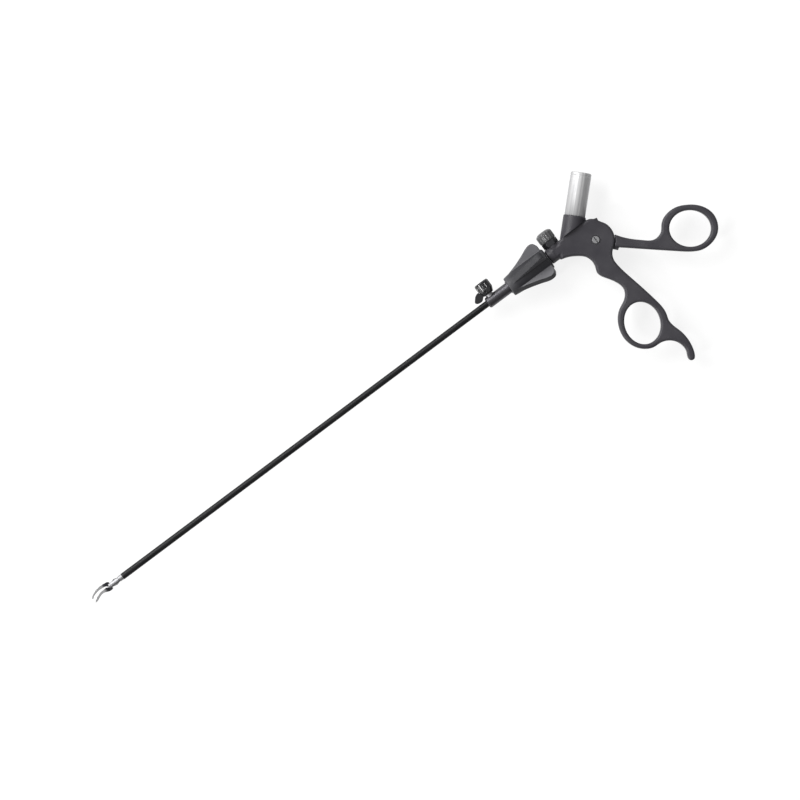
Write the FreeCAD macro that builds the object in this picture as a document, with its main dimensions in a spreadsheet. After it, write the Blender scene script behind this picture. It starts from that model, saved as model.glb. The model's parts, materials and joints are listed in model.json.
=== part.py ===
import FreeCAD, Part

import math
import os

import Sketcher

# Grasping forceps, 5 mm class, lying on its side as on a table. Millimetres.
# X runs along the shaft towards the handle, +Z is up, and the rings lie on the -Y side.
# The origin is on the shaft axis, where the insulated shaft leaves the flush port's sleeve.

SIZES = {
    # shaft
    "shaft_length": 330.5,
    "tube_diameter": 4.3,
    "tube_wall": 0.3,
    "insulation_wall": 0.25,
    "tube_bare_end": 3.0,
    "tube_in_spigot": 8.0,
    "rod_diameter": 2.0,
    "running_gap": 0.05,
    "moving_gap": 0.3,
    # jaws and their linkage
    "clevis_diameter": 4.6,
    "clevis_wall": 0.38,
    "clevis_slot_width": 2.9,
    "clevis_slot_in_tube": 1.6,
    "clevis_spigot_length": 5.0,
    "clevis_nose_gap": 0.3,
    "clevis_edge": 0.5,
    "jaw_pivot_from_tube": 7.5,
    "jaw_pivot_diameter": 1.2,
    "jaw_pivot_sunk": 0.15,
    "jaw_length": 16.7,
    "jaw_width": 2.5,
    "jaw_root_depth": 2.4,
    "jaw_heel_reach": 0.1,
    "jaw_tip_depth": 0.95,
    "jaw_rise": 0.42,
    "jaw_curve": 0.031,
    "jaw_root_start": 2.0,
    "root_relief": 1.0,
    "jaw_face_gap": 0.06,
    "jaw_rest_angle": 4.5,
    "tooth_pitch": 0.9,
    "tooth_depth": 0.28,
    "first_tooth": 1.6,
    "last_tooth": 1.4,
    "jaw_nose": 0.75,
    "window_start": 5.0,
    "window_length": 8.6,
    "window_width": 1.0,
    "tail_arm": 4.4,
    "tail_closed_angle": 18.0,
    "tail_thickness": 0.5,
    "tail_hub_radius": 1.5,
    "cheek_reach": 0.6,
    "cheek_end_radius": 1.0,
    "tail_eye_radius": 0.9,
    "link_length": 5.2,
    "link_thickness": 0.43,
    "link_eye_radius": 0.95,
    "link_pin_diameter": 0.8,
    "link_slack": 0.25,
    "layer_gap": 0.05,
    "blade_thickness": 0.74,
    "crosshead_length": 3.0,
    "crosshead_ahead": 1.6,
    "crosshead_web": 1.2,
    "blade_in_block": 0.4,
    "blade_height": 1.6,
    "rod_past_ball": 1.0,
    # flush port
    "sleeve_diameter": 8.4,
    "sleeve_length": 19.0,
    "sleeve_edge": 0.8,
    "ring_diameter": 9.6,
    "ring_thickness": 0.6,
    "port_from_front": 4.9,
    "port_diameter": 6.0,
    "port_bore": 2.4,
    "port_sunk": 1.2,
    "port_edge": 0.5,
    "port_top": 12.6,
    "cap_diameter": 11.4,
    "cap_bottom": 5.2,
    "cap_top": 15.4,
    "cap_edge": 0.8,
    "cap_waist": 1.6,
    "cap_waist_height": 3.6,
    "cap_flute_share": 0.45,
    "cap_rim": 0.6,
    "cap_flute_count": 14,
    "cap_flute_radius": 0.7,
    "cap_boss_diameter": 3.6,
    "cap_boss_up": 2.7,
    "cap_boss_aside": 1.2,
    "cap_boss_height": 0.5,
    "cap_tab_thickness": 3.2,
    # rotation wheel
    "wheel_length": 35.4,
    "wheel_nose_diameter": 14.8,
    "wheel_hub_diameter": 16.6,
    "wheel_nose_edge": 0.8,
    "wheel_nose_length": 7.0,
    "wheel_rear_edge": 1.2,
    "wheel_fin_radius": 16.0,
    "wheel_fin_count": 5,
    "wheel_fin_thickness": 4.8,
    "spigot_diameter": 7.0,
    "spigot_in_wheel": 26.0,
    "spigot_in_handle": 18.5,
    "groove_diameter": 5.2,
    "groove_width": 3.2,
    "spigot_edge": 0.6,
    "seal_from_tube": 4.0,
    "seal_diameter": 4.2,
    "seal_width": 1.1,
    "seal_slack": 0.02,
    # handle
    "handle_thickness": 10.4,
    "handle_edge": 1.7,
    "ring_edge": 1.4,
    "neck_diameter": 11.4,
    "neck_length": 14.0,
    "neck_edge": 0.6,
    "neck_tail_length": 6.0,
    "neck_tail_drop": 2.0,
    "neck_bore_past": 8.0,
    "pivot_along": 90.24,
    "pivot_below": 10.1,
    "cheek_radius": 13.9,
    "slot_radius": 15.0,
    "slot_width": 5.4,
    "front_ring_long": 15.55,
    "front_ring_short": 13.1,
    "front_ring_turn": 71.3,
    "front_ring_x": 81.45,
    "front_ring_y": -78.6,
    # thumb lever
    "lever_thickness": 9.0,
    "lever_edge": 1.7,
    "lever_face_gap": 0.45,
    "lever_face_low": -57.4,
    "lever_face_high": -20.0,
    "tongue_thickness": 4.8,
    "tongue_hub_radius": 8.0,
    "tongue_neck_width": 8.4,
    "tongue_neck_turn": -47.0,
    "tongue_neck_length": 17.5,
    "thumb_ring_long": 15.2,
    "thumb_ring_short": 13.3,
    "thumb_ring_turn": -36.8,
    "thumb_ring_x": 150.2,
    "thumb_ring_y": -44.4,
    "ball_diameter": 4.2,
    "fork_width": 9.4,
    "fork_above_ball": 3.6,
    "fork_edge": 1.2,
    "fork_side_gap": 0.2,
    "throat_gap": 0.35,
    "bush_diameter": 5.0,
    "bush_bore": 3.0,
    "washer_diameter": 9.0,
    "washer_thickness": 0.2,
    "screw_head_diameter": 5.8,
    "screw_head_height": 1.7,
    "screw_head_sink": 0.8,
    "screw_seat_gap": 0.15,
    "screw_edge": 0.4,
    "screw_end_sunk": 0.3,
    "screw_slot_width": 0.8,
    "screw_slot_depth": 0.7,
    # lock knob
    "knob_from_wheel": 7.4,
    "knob_diameter": 12.7,
    "knob_height": 6.4,
    "knob_dome": 1.5,
    "knob_foot_edge": 0.6,
    "knob_dome_step": 1.8,
    "knob_top_diameter": 4.7,
    "knob_bore_depth": 2.0,
    "knob_flute_count": 18,
    "knob_flute_radius": 0.75,
    "knob_flute_share": 0.5,
    "collar_across_flats": 10.6,
    "collar_height": 3.9,
    "boss_diameter": 10.4,
    "boss_top": 5.8,
    "stud_diameter": 4.0,
    "stud_tip_diameter": 2.4,
    "stud_shoulder": 0.5,
    # connector
    "socket_diameter": 16.5,
    "socket_length": 18.0,
    "socket_x": 88.6,
    "socket_y": 12.9,
    "socket_turn": 44.6,
    "socket_step": 5.5,
    "step_front": 30.0,
    "step_rear": 12.0,
    "step_low": 40.0,
    "shroud_diameter": 15.2,
    "shroud_bore": 12.8,
    "shroud_length": 32.0,
    "shroud_sunk": 5.0,
    "shroud_edge": 1.0,
    "shroud_lip": 0.4,
    "insulator_step": 3.0,
    "insulator_cone": 1.5,
    "pin_diameter": 4.0,
    "pin_shank_diameter": 3.2,
    "pin_length": 20.0,
    "pin_point": 0.8,
    "pin_sunk": 12.0,
}


class Size:
    """A size of the sheet, or arithmetic on such sizes: its number and the expression that gives it."""

    def __init__(self, number, text):
        self.number = number
        self.text = text

    def _with(self, other, sign, number):
        text = other.text if isinstance(other, Size) else repr(float(other))
        return Size(number, "(" + self.text + sign + text + ")")

    def __add__(self, other):
        return self._with(other, " + ", self.number + number_of(other))

    def __sub__(self, other):
        return self._with(other, " - ", self.number - number_of(other))

    def __mul__(self, other):
        return self._with(other, " * ", self.number * number_of(other))

    def __truediv__(self, other):
        return self._with(other, " / ", self.number / number_of(other))

    def __neg__(self):
        return Size(-self.number, "(-" + self.text + ")")


def number_of(value):
    return value.number if isinstance(value, Size) else float(value)


class Sheet:
    """The spreadsheet of driving sizes; sheet.name gives a Size bound to that cell."""

    def __init__(self, doc, sizes):
        self.cells = doc.addObject("Spreadsheet::Sheet", "Sizes")
        for row, (name, number) in enumerate(sizes.items(), start=1):
            self.cells.set("A%d" % row, name)
            self.cells.set("B%d" % row, str(number))
            self.cells.setAlias("B%d" % row, name)
        doc.recompute()

    def __getattr__(self, name):
        return Size(float(getattr(self.cells, name)), "Sizes." + name)


doc = FreeCAD.newDocument("GraspingForceps")
size = Sheet(doc, SIZES)
parts = []

ALONG_X = FreeCAD.Rotation()
ALONG_Y = FreeCAD.Rotation(FreeCAD.Vector(0, 0, 1), 90)
ALONG_Z = FreeCAD.Rotation(FreeCAD.Vector(0, 1, 0), -90)
XY = "XY_Plane"
XZ = "XZ_Plane"
YZ = "YZ_Plane"


# Helpers for bodies, sketches and features

def new_body(name):
    """A body of its own, listed as a sub-part."""
    body = doc.addObject("PartDesign::Body", name)
    body.Label = name
    parts.append(body)
    return body


def bind(thing, path, value):
    """Tie a property to the sheet when its value is a Size."""
    if isinstance(value, Size):
        thing.setExpression(path, value.text)


def place(thing, position, rotation=ALONG_X):
    """Place a sub-part: each coordinate may be a Size."""
    thing.Placement = FreeCAD.Placement(FreeCAD.Vector(*[number_of(p) for p in position]), rotation)
    for axis, value in zip("xyz", position):
        bind(thing, "Placement.Base." + axis, value)


def new_sketch(body, plane=XY, offset=None):
    """A sketch on one of the body's own origin planes, lifted by offset along the plane's normal."""
    sketch = body.newObject("Sketcher::SketchObject", body.Name + "_sketch")
    base = [feature for feature in body.Origin.OriginFeatures if feature.Role == plane][0]
    sketch.AttachmentSupport = [(base, "")]
    sketch.MapMode = "FlatFace"
    if offset is not None:
        lift = FreeCAD.Vector(0, 0, number_of(offset))
        sketch.AttachmentOffset = FreeCAD.Placement(lift, ALONG_X)
        bind(sketch, "AttachmentOffset.Base.z", offset)
    return sketch


def hold(sketch, kind, geometry, point, value):
    """Fix one coordinate of a point to a size, measured from the sketch's origin."""
    number = number_of(value)
    if abs(number) < 1e-9:
        axis = -2 if kind == "DistanceX" else -1
        sketch.addConstraint(Sketcher.Constraint("PointOnObject", geometry, point, axis))
        return
    text = value.text if isinstance(value, Size) else None
    ends = (-1, 1, geometry, point) if number > 0 else (geometry, point, -1, 1)
    index = sketch.addConstraint(Sketcher.Constraint(kind, *ends, abs(number)))
    if text is not None:
        sketch.setExpression("Constraints[%d]" % index, text if number > 0 else "-" + text)


def add_polygon(sketch, corners):
    """A closed run of straight lines whose corners are held by sizes."""
    spots = [FreeCAD.Vector(number_of(x), number_of(y), 0) for x, y in corners]
    first = sketch.GeometryCount
    for index, spot in enumerate(spots):
        sketch.addGeometry(Part.LineSegment(spot, spots[(index + 1) % len(spots)]))
    for index, (x, y) in enumerate(corners):
        following = first + (index + 1) % len(corners)
        sketch.addConstraint(Sketcher.Constraint("Coincident", first + index, 2, following, 1))
        hold(sketch, "DistanceX", first + index, 1, x)
        hold(sketch, "DistanceY", first + index, 1, y)


def add_circle(sketch, x, y, radius):
    """A circle held by its centre and radius."""
    centre = FreeCAD.Vector(number_of(x), number_of(y), 0)
    index = sketch.addGeometry(Part.Circle(centre, FreeCAD.Vector(0, 0, 1), number_of(radius)))
    hold(sketch, "DistanceX", index, 3, x)
    hold(sketch, "DistanceY", index, 3, y)
    which = sketch.addConstraint(Sketcher.Constraint("Radius", index, number_of(radius)))
    bind(sketch, "Constraints[%d]" % which, radius)


def add_spline(sketch, points):
    """A smooth open curve through points."""
    curve = Part.BSplineCurve()
    curve.interpolate([FreeCAD.Vector(x, y, 0) for x, y in points])
    sketch.addGeometry(curve)


def add_line(sketch, start, end):
    sketch.addGeometry(Part.LineSegment(FreeCAD.Vector(*start, 0), FreeCAD.Vector(*end, 0)))


def add_ellipse(sketch, centre, long_radius, short_radius, turn):
    """An ellipse whose long axis is turned from the sketch's X axis by turn degrees."""
    middle = FreeCAD.Vector(*centre, 0)
    angle = math.radians(turn)
    long_end = middle + FreeCAD.Vector(math.cos(angle), math.sin(angle), 0) * long_radius
    short_end = middle + FreeCAD.Vector(-math.sin(angle), math.cos(angle), 0) * short_radius
    sketch.addGeometry(Part.Ellipse(long_end, short_end, middle))


def feature(body, kind, sketch, length=None, both_ways=True, reverse=False):
    """A pad or pocket of a sketch, to a length or through all."""
    thing = body.newObject("PartDesign::" + kind, body.Name + "_" + kind.lower())
    thing.Profile = sketch
    thing.Reversed = reverse
    if length is None:
        thing.Type = "ThroughAll"
    else:
        thing.Length = number_of(length)
        bind(thing, "Length", length)
    if both_ways:
        thing.SideType = "Symmetric"
    doc.recompute()
    return thing


def revolve(body, sketch, kind="Revolution"):
    """A full turn of the sketch about its own X axis, added or cut."""
    thing = body.newObject("PartDesign::" + kind, body.Name + "_" + kind.lower())
    thing.Profile = sketch
    thing.ReferenceAxis = (sketch, ["H_Axis"])
    thing.Angle = 360.0
    doc.recompute()
    return thing


def turned(name, corners):
    """A turned sub-part: (along, radius) corners spun about the X axis."""
    body = new_body(name)
    sketch = new_sketch(body)
    add_polygon(sketch, corners)
    revolve(body, sketch)
    return body


def pattern(body, original, count):
    """Copies of a feature all round the body's X axis."""
    copies = body.newObject("PartDesign::PolarPattern", body.Name + "_round")
    copies.Originals = [original]
    copies.Axis = (original.Profile[0], ["H_Axis"] if original.TypeId.endswith("Pad") else ["N_Axis"])
    copies.Angle = 360.0
    copies.Occurrences = int(number_of(count))
    bind(copies, "Occurrences", count)
    body.Tip = copies
    doc.recompute()
    return copies


def round_edges(body, chosen, radius):
    """Round the edges of the body's last solid that chosen(edge) picks."""
    solid = body.Tip
    names = ["Edge%d" % (index + 1) for index, edge in enumerate(solid.Shape.Edges) if chosen(edge)]
    rounded = body.newObject("PartDesign::Fillet", body.Name + "_fillet")
    rounded.Base = (solid, names)
    rounded.Radius = number_of(radius)
    bind(rounded, "Radius", radius)
    doc.recompute()
    return rounded


def cylinder_feature(body, kind, radius, height, position, rotation):
    """A cylinder added to or cut from a body, its axis along the rotated Z direction."""
    thing = body.newObject("PartDesign::" + kind + "Cylinder", body.Name + "_cylinder")
    thing.Radius = number_of(radius)
    thing.Height = number_of(height)
    bind(thing, "Radius", radius)
    bind(thing, "Height", height)
    thing.Placement = FreeCAD.Placement(FreeCAD.Vector(*[number_of(p) for p in position]), rotation)
    for axis, value in zip("xyz", position):
        bind(thing, "Placement.Base." + axis, value)
    doc.recompute()
    return thing


Z_TO_X = FreeCAD.Rotation(FreeCAD.Vector(0, 1, 0), 90)
Z_TO_Y = FreeCAD.Rotation(FreeCAD.Vector(1, 0, 0), -90)
Z_TO_SOCKET = FreeCAD.Rotation(FreeCAD.Vector(0, 0, 1), number_of(size.socket_turn)).multiply(Z_TO_X)

# Places that several pieces share

pivot = (size.pivot_along, -size.pivot_below)
P = (number_of(pivot[0]), number_of(pivot[1]))
tube_front = -(size.shaft_length + size.tube_bare_end)
jaw_pivot_x = tube_front - size.jaw_pivot_from_tube
wheel_front = size.sleeve_length + size.ring_thickness
wheel_rear = wheel_front + size.wheel_length
neck_front = wheel_rear + size.moving_gap
knob_x = wheel_rear + size.knob_from_wheel
spigot_front = wheel_rear - size.spigot_in_wheel
spigot_rear = wheel_rear + size.spigot_in_handle
rod_radius = size.rod_diameter / 2
tube_radius = size.tube_diameter / 2
tube_bore = tube_radius - size.tube_wall
tube_rear = spigot_front + size.tube_in_spigot

rest_tail = math.radians(number_of(size.tail_closed_angle + size.jaw_rest_angle))
tail_arm = number_of(size.tail_arm)
link_length = number_of(size.link_length)
rest_link = math.asin(tail_arm * math.sin(rest_tail) / link_length)
crosshead_x = number_of(jaw_pivot_x) + tail_arm * math.cos(rest_tail) + link_length * math.cos(rest_link)


# Shaft: steel tube, insulation, clevis

def make_shaft():
    """The steel tube and the insulating sleeve shrunk over it."""
    turned("outer_tube", [
        (tube_front, tube_bore),
        (tube_front, tube_radius),
        (tube_rear, tube_radius),
        (tube_rear, tube_bore),
    ])
    turned("insulation_sleeve", [
        (-size.shaft_length, tube_radius),
        (-size.shaft_length, tube_radius + size.insulation_wall),
        (0, tube_radius + size.insulation_wall),
        (0, tube_radius),
    ])


def make_clevis():
    """The slotted end piece that carries the jaws, with its spigot inside the tube."""
    bore = tube_bore - size.clevis_wall
    nose = jaw_pivot_x - size.tail_hub_radius - size.clevis_nose_gap
    body = turned("jaw_clevis", [
        (tube_front + size.clevis_spigot_length, bore),
        (tube_front + size.clevis_spigot_length, tube_bore),
        (tube_front, tube_bore),
        (tube_front, size.clevis_diameter / 2),
        (nose + size.clevis_edge, size.clevis_diameter / 2),
        (nose, size.clevis_diameter / 2 - size.clevis_edge),
        (nose, bore),
    ])
    slot = new_sketch(body, XZ)
    half = size.clevis_slot_width / 2
    slot_start = tube_front + size.clevis_slot_in_tube
    add_polygon(slot, [
        (nose - 1, -half),
        (slot_start, -half),
        (slot_start, half),
        (nose - 1, half),
    ])
    feature(body, "Pocket", slot)
    hole = new_sketch(body)
    add_circle(hole, jaw_pivot_x, 0, size.jaw_pivot_diameter / 2)
    feature(body, "Pocket", hole)
    half = size.clevis_diameter / 2 - size.jaw_pivot_sunk
    pin = turned("jaw_pivot_pin", [
        (-half, 0),
        (-half, size.jaw_pivot_diameter / 2),
        (half, size.jaw_pivot_diameter / 2),
        (half, 0),
    ])
    place(pin, (jaw_pivot_x, 0, 0), ALONG_Z)


# Jaws and links

def add_eye_bar(body, start, end, start_radius, end_radius, bottom, thickness):
    """A flat bar with a round eye at each end, padded up from the height bottom."""
    dx = end[0] - start[0]
    dy = end[1] - start[1]
    reach = math.hypot(dx, dy)
    heading = math.atan2(dy, dx)
    lean = math.acos((start_radius - end_radius) / reach)
    sketch = new_sketch(body, XY, bottom)
    up = FreeCAD.Vector(0, 0, 1)
    rims = []
    for centre, radius in ((start, start_radius), (end, end_radius)):
        for side in (lean, -lean):
            angle = heading + side
            rims.append((centre[0] + radius * math.cos(angle), centre[1] + radius * math.sin(angle)))
    add_line(sketch, rims[0], rims[2])
    add_line(sketch, rims[1], rims[3])
    for centre, radius, first, last in (
            (start, start_radius, heading + lean, heading - lean + 2 * math.pi),
            (end, end_radius, heading - lean, heading + lean)):
        circle = Part.Circle(FreeCAD.Vector(*centre, 0), up, radius)
        sketch.addGeometry(Part.ArcOfCircle(circle, first, last))
    feature(body, "Pad", sketch, thickness, both_ways=False)


def make_jaw(name, side):
    """One jaw in its closed pose about its own pivot, then opened to its rest angle; side is +1 or -1."""
    body = new_body(name)
    root = number_of(size.jaw_root_start)
    length = number_of(size.jaw_length)
    gap = number_of(size.jaw_face_gap) * side
    root_depth = number_of(size.jaw_root_depth) * side
    tip_depth = number_of(size.jaw_tip_depth) * side
    rise = number_of(size.jaw_rise)
    bend = number_of(size.jaw_curve)
    depth = number_of(size.tooth_depth) * side

    def sag(along):
        return (rise - bend * along) * along

    face = []
    nose_length = number_of(size.jaw_nose)
    along = root + number_of(size.first_tooth)
    face.append((-root, gap))
    while along < length - number_of(size.last_tooth):
        face.append((-along, sag(along) + gap + depth))
        face.append((-(along + number_of(size.tooth_pitch) / 2), sag(along) + gap))
        along += number_of(size.tooth_pitch)
    face.append((-(length - nose_length), sag(length) + gap))
    nose = (-length, sag(length) + tip_depth * 0.55)
    # the back stands higher over the root, and the lower jaw's heel doesn't follow the curve
    follows = 1.0 if side > 0 else 0.0
    heel = (number_of(size.jaw_heel_reach), root_depth * 1.1)
    back = [
        nose,
        (-(length - nose_length), sag(length - nose_length) + tip_depth * 1.25),
        (-length * 0.72, sag(length * 0.72) + tip_depth * 2.05),
        (-length * 0.42, sag(length * 0.42) + root_depth),
        (-(root + 1.4), follows * sag(root + 1.4) + root_depth * 1.1),
        (-root * 0.8, follows * sag(root * 0.8) + root_depth * 1.25),
        heel,
    ]
    under_heel = (heel[0], root_depth * 0.72)
    above_root = (-root * 0.85, root_depth * 0.42)
    profile = new_sketch(body)
    for start, end in zip(face, face[1:]):
        add_line(profile, start, end)
    add_line(profile, face[-1], nose)
    add_spline(profile, back)
    for start, end in ((heel, under_heel), (under_heel, above_root), (above_root, face[0])):
        add_line(profile, start, end)
    feature(body, "Pad", profile, size.jaw_width)

    # relief in the root for the other jaw's cheek
    outer = size.clevis_slot_width / 2 - size.layer_gap
    inner = outer - size.tail_thickness - size.layer_gap
    relief = new_sketch(body, XY, inner * -side)
    add_polygon(relief, [
        (-(size.jaw_root_start + size.root_relief), -size.jaw_root_depth * 2),
        (size.root_relief, -size.jaw_root_depth * 2),
        (size.root_relief, size.jaw_root_depth * 2),
        (-(size.jaw_root_start + size.root_relief), size.jaw_root_depth * 2),
    ])
    feature(body, "Pocket", relief, size.jaw_width, both_ways=False, reverse=side < 0)

    tilt = math.radians(number_of(size.tail_closed_angle))
    tail_end = (tail_arm * math.cos(tilt), -side * tail_arm * math.sin(tilt))
    bottom = outer - size.tail_thickness if side > 0 else -outer
    add_eye_bar(body, (0.0, 0.0), tail_end, number_of(size.tail_hub_radius),
                number_of(size.tail_eye_radius), bottom, size.tail_thickness)
    cheek_along = root + number_of(size.cheek_reach)
    cheek_root = (-cheek_along, follows * sag(cheek_along) + root_depth * 0.7)
    add_eye_bar(body, (0.0, 0.0), cheek_root, number_of(size.tail_hub_radius),
                number_of(size.cheek_end_radius), bottom, size.tail_thickness)

    holes = new_sketch(body)
    add_circle(holes, 0, 0, size.jaw_pivot_diameter / 2 + size.running_gap)
    feature(body, "Pocket", holes)
    eye = new_sketch(body)
    add_circle(eye, tail_end[0], tail_end[1], size.link_pin_diameter / 2)
    feature(body, "Pocket", eye)
    window = new_sketch(body, XZ)
    half = size.window_width / 2
    add_polygon(window, [
        (-(size.window_start + size.window_length), -half),
        (-size.window_start, -half),
        (-size.window_start, half),
        (-(size.window_start + size.window_length), half),
    ])
    feature(body, "Pocket", window)
    opened = FreeCAD.Rotation(FreeCAD.Vector(0, 0, 1), -side * number_of(size.jaw_rest_angle))
    place(body, (jaw_pivot_x, 0, 0), opened)
    return tail_end, opened


def make_link_pin(name, side, tail_end, opened):
    """The pin that is fixed in a jaw's tail and runs in the link's eye."""
    outer = size.clevis_slot_width / 2 - size.layer_gap
    inner = size.blade_thickness / 2 + size.layer_gap
    ends = (inner, outer) if side > 0 else (-outer, -inner)
    pin = turned(name, [
        (ends[0], 0),
        (ends[0], size.link_pin_diameter / 2),
        (ends[1], size.link_pin_diameter / 2),
        (ends[1], 0),
    ])
    spot = opened.multVec(FreeCAD.Vector(*tail_end, 0))
    place(pin, (jaw_pivot_x + spot.x, spot.y, 0), ALONG_Z)


def make_link(name, side):
    """A link from the crosshead pin to a jaw's tail pin, with slack in the tail eye."""
    body = new_body(name)
    bottom = size.blade_thickness / 2 + size.layer_gap
    if side < 0:
        bottom = -(bottom + size.link_thickness)
    eye = number_of(size.link_eye_radius)
    add_eye_bar(body, (0.0, 0.0), (-link_length, 0.0), eye, eye, bottom, size.link_thickness)
    holes = new_sketch(body)
    add_circle(holes, 0, 0, size.link_pin_diameter / 2 + size.running_gap)
    add_circle(holes, -size.link_length, 0, size.link_pin_diameter / 2 + size.link_slack)
    feature(body, "Pocket", holes)
    slant = FreeCAD.Rotation(FreeCAD.Vector(0, 0, 1), side * math.degrees(rest_link))
    place(body, (crosshead_x, 0, 0), slant)


# Drive rod

def make_rod():
    """The rod with its crosshead blade at the jaws and its ball in the lever's fork."""
    blade_end = crosshead_x - number_of(size.link_eye_radius)
    block_front = size.crosshead_ahead + crosshead_x
    block_rear = block_front + size.crosshead_length
    web = block_front + size.crosshead_web
    radius = tube_bore - size.clevis_wall - size.running_gap
    body = turned("rod_crosshead", [
        (block_front, 0),
        (block_front, radius),
        (block_rear, radius),
        (block_rear, rod_radius),
        (web, rod_radius),
        (web, 0),
    ])
    blade = new_sketch(body)
    high = size.blade_height / 2
    add_polygon(blade, [
        (blade_end, -high),
        (block_front + size.blade_in_block, -high),
        (block_front + size.blade_in_block, high),
        (blade_end, high),
    ])
    feature(body, "Pad", blade, size.blade_thickness)
    hole = new_sketch(body)
    add_circle(hole, crosshead_x, 0, size.link_pin_diameter / 2)
    feature(body, "Pocket", hole)
    half = size.blade_thickness / 2 + size.layer_gap + size.link_thickness
    pin = turned("crosshead_pin", [
        (-half, 0),
        (-half, size.link_pin_diameter / 2),
        (half, size.link_pin_diameter / 2),
        (half, 0),
    ])
    place(pin, (crosshead_x, 0, 0), ALONG_Z)
    turned("drive_rod", [
        (web, 0),
        (web, rod_radius),
        (size.pivot_along + size.rod_past_ball, rod_radius),
        (size.pivot_along + size.rod_past_ball, 0),
    ])
    ball = doc.addObject("Part::Sphere", "ball_blank")
    ball.Radius = number_of(size.ball_diameter / 2)
    bind(ball, "Radius", size.ball_diameter / 2)
    place(ball, (size.pivot_along, 0, 0))
    bore = doc.addObject("Part::Cylinder", "ball_bore")
    bore.Radius = number_of(rod_radius)
    bind(bore, "Radius", rod_radius)
    bore.Height = number_of(size.ball_diameter / 2 + size.rod_past_ball)
    bind(bore, "Height", size.ball_diameter / 2 + size.rod_past_ball)
    place(bore, (size.pivot_along - size.ball_diameter / 2, 0, 0), Z_TO_X)
    drilled = doc.addObject("Part::Cut", "rod_ball")
    drilled.Base = ball
    drilled.Tool = bore
    drilled.Label = "rod_ball"
    parts.append(drilled)


# Flush port

def make_port():
    """The sleeve in front of the wheel with its ring, the port that stands on it, and the fluted cap."""
    bore = size.tube_diameter / 2
    outer = size.sleeve_diameter / 2
    sleeve = turned("port_sleeve", [
        (0, bore),
        (0, outer - size.sleeve_edge),
        (size.sleeve_edge, outer),
        (size.sleeve_length, outer),
        (size.sleeve_length, bore),
    ])
    foot = outer - size.port_sunk
    cylinder_feature(sleeve, "Subtractive", size.port_diameter / 2, size.port_top,
                     (size.port_from_front, foot, 0), Z_TO_Y)
    turned("sleeve_ring", [
        (size.sleeve_length, bore),
        (size.sleeve_length, size.ring_diameter / 2),
        (wheel_front, size.ring_diameter / 2),
        (wheel_front, bore),
    ])
    port = turned("flush_port", [
        (foot, size.port_bore / 2),
        (foot, size.port_diameter / 2),
        (size.port_top - size.port_edge, size.port_diameter / 2),
        (size.port_top, size.port_diameter / 2 - size.port_edge),
        (size.port_top, size.port_bore / 2),
    ])
    place(port, (size.port_from_front, 0, 0), ALONG_Y)
    make_cap()


def make_cap():
    """The soft cap: a fluted skirt over the port, a round boss on its side and a pull tab in front."""
    outer = size.cap_diameter / 2
    inner = size.port_diameter / 2 + size.moving_gap
    cap = turned("port_cap", [
        (size.cap_bottom, inner),
        (size.cap_bottom, outer - size.cap_waist),
        (size.cap_bottom + size.cap_waist_height, outer),
        (size.cap_top - size.cap_edge, outer),
        (size.cap_top, outer - size.cap_edge),
        (size.cap_top, 0),
        (size.port_top + size.moving_gap, 0),
        (size.port_top + size.moving_gap, inner),
    ])
    flute = new_sketch(cap, YZ, size.cap_bottom - 1)
    add_circle(flute, outer + size.cap_flute_radius * size.cap_flute_share, 0, size.cap_flute_radius)
    cut = feature(cap, "Pocket", flute, size.cap_top - size.cap_bottom - size.cap_rim,
                  both_ways=False, reverse=True)
    pattern(cap, cut, size.cap_flute_count)
    boss = new_sketch(cap, XY)
    add_circle(boss, size.cap_bottom + size.cap_boss_up, -size.cap_boss_aside, size.cap_boss_diameter / 2)
    feature(cap, "Pad", boss, outer + size.cap_boss_height, both_ways=False)
    bore = new_sketch(cap)
    add_polygon(bore, [
        (size.cap_bottom - 1, 0),
        (size.cap_bottom - 1, inner),
        (size.port_top + size.moving_gap, inner),
        (size.port_top + size.moving_gap, 0),
    ])
    revolve(cap, bore, "Groove")
    tab = new_sketch(cap, XY)
    low = number_of(size.cap_bottom)
    points = [
        (low + 4.7, number_of(outer) - 0.9),
        (low + 4.9, number_of(outer) + 1.5),
        (low + 3.7, number_of(outer) + 3.7),
        (low + 1.7, number_of(outer) + 5.5),
        (low + 0.2, number_of(outer) + 6.3),
        (low - 1.0, number_of(outer) + 5.5),
        (low - 1.8, number_of(outer) + 3.3),
        (low - 1.7, number_of(outer) + 1.2),
        (low - 0.8, number_of(outer) - 0.1),
        (low + 0.5, number_of(outer) - 1.5),
    ]
    add_spline(tab, points)
    add_line(tab, points[-1], points[0])
    feature(cap, "Pad", tab, size.cap_tab_thickness)
    place(cap, (size.port_from_front, 0, 0), ALONG_Y)


# Rotation wheel and its spigot

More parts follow.
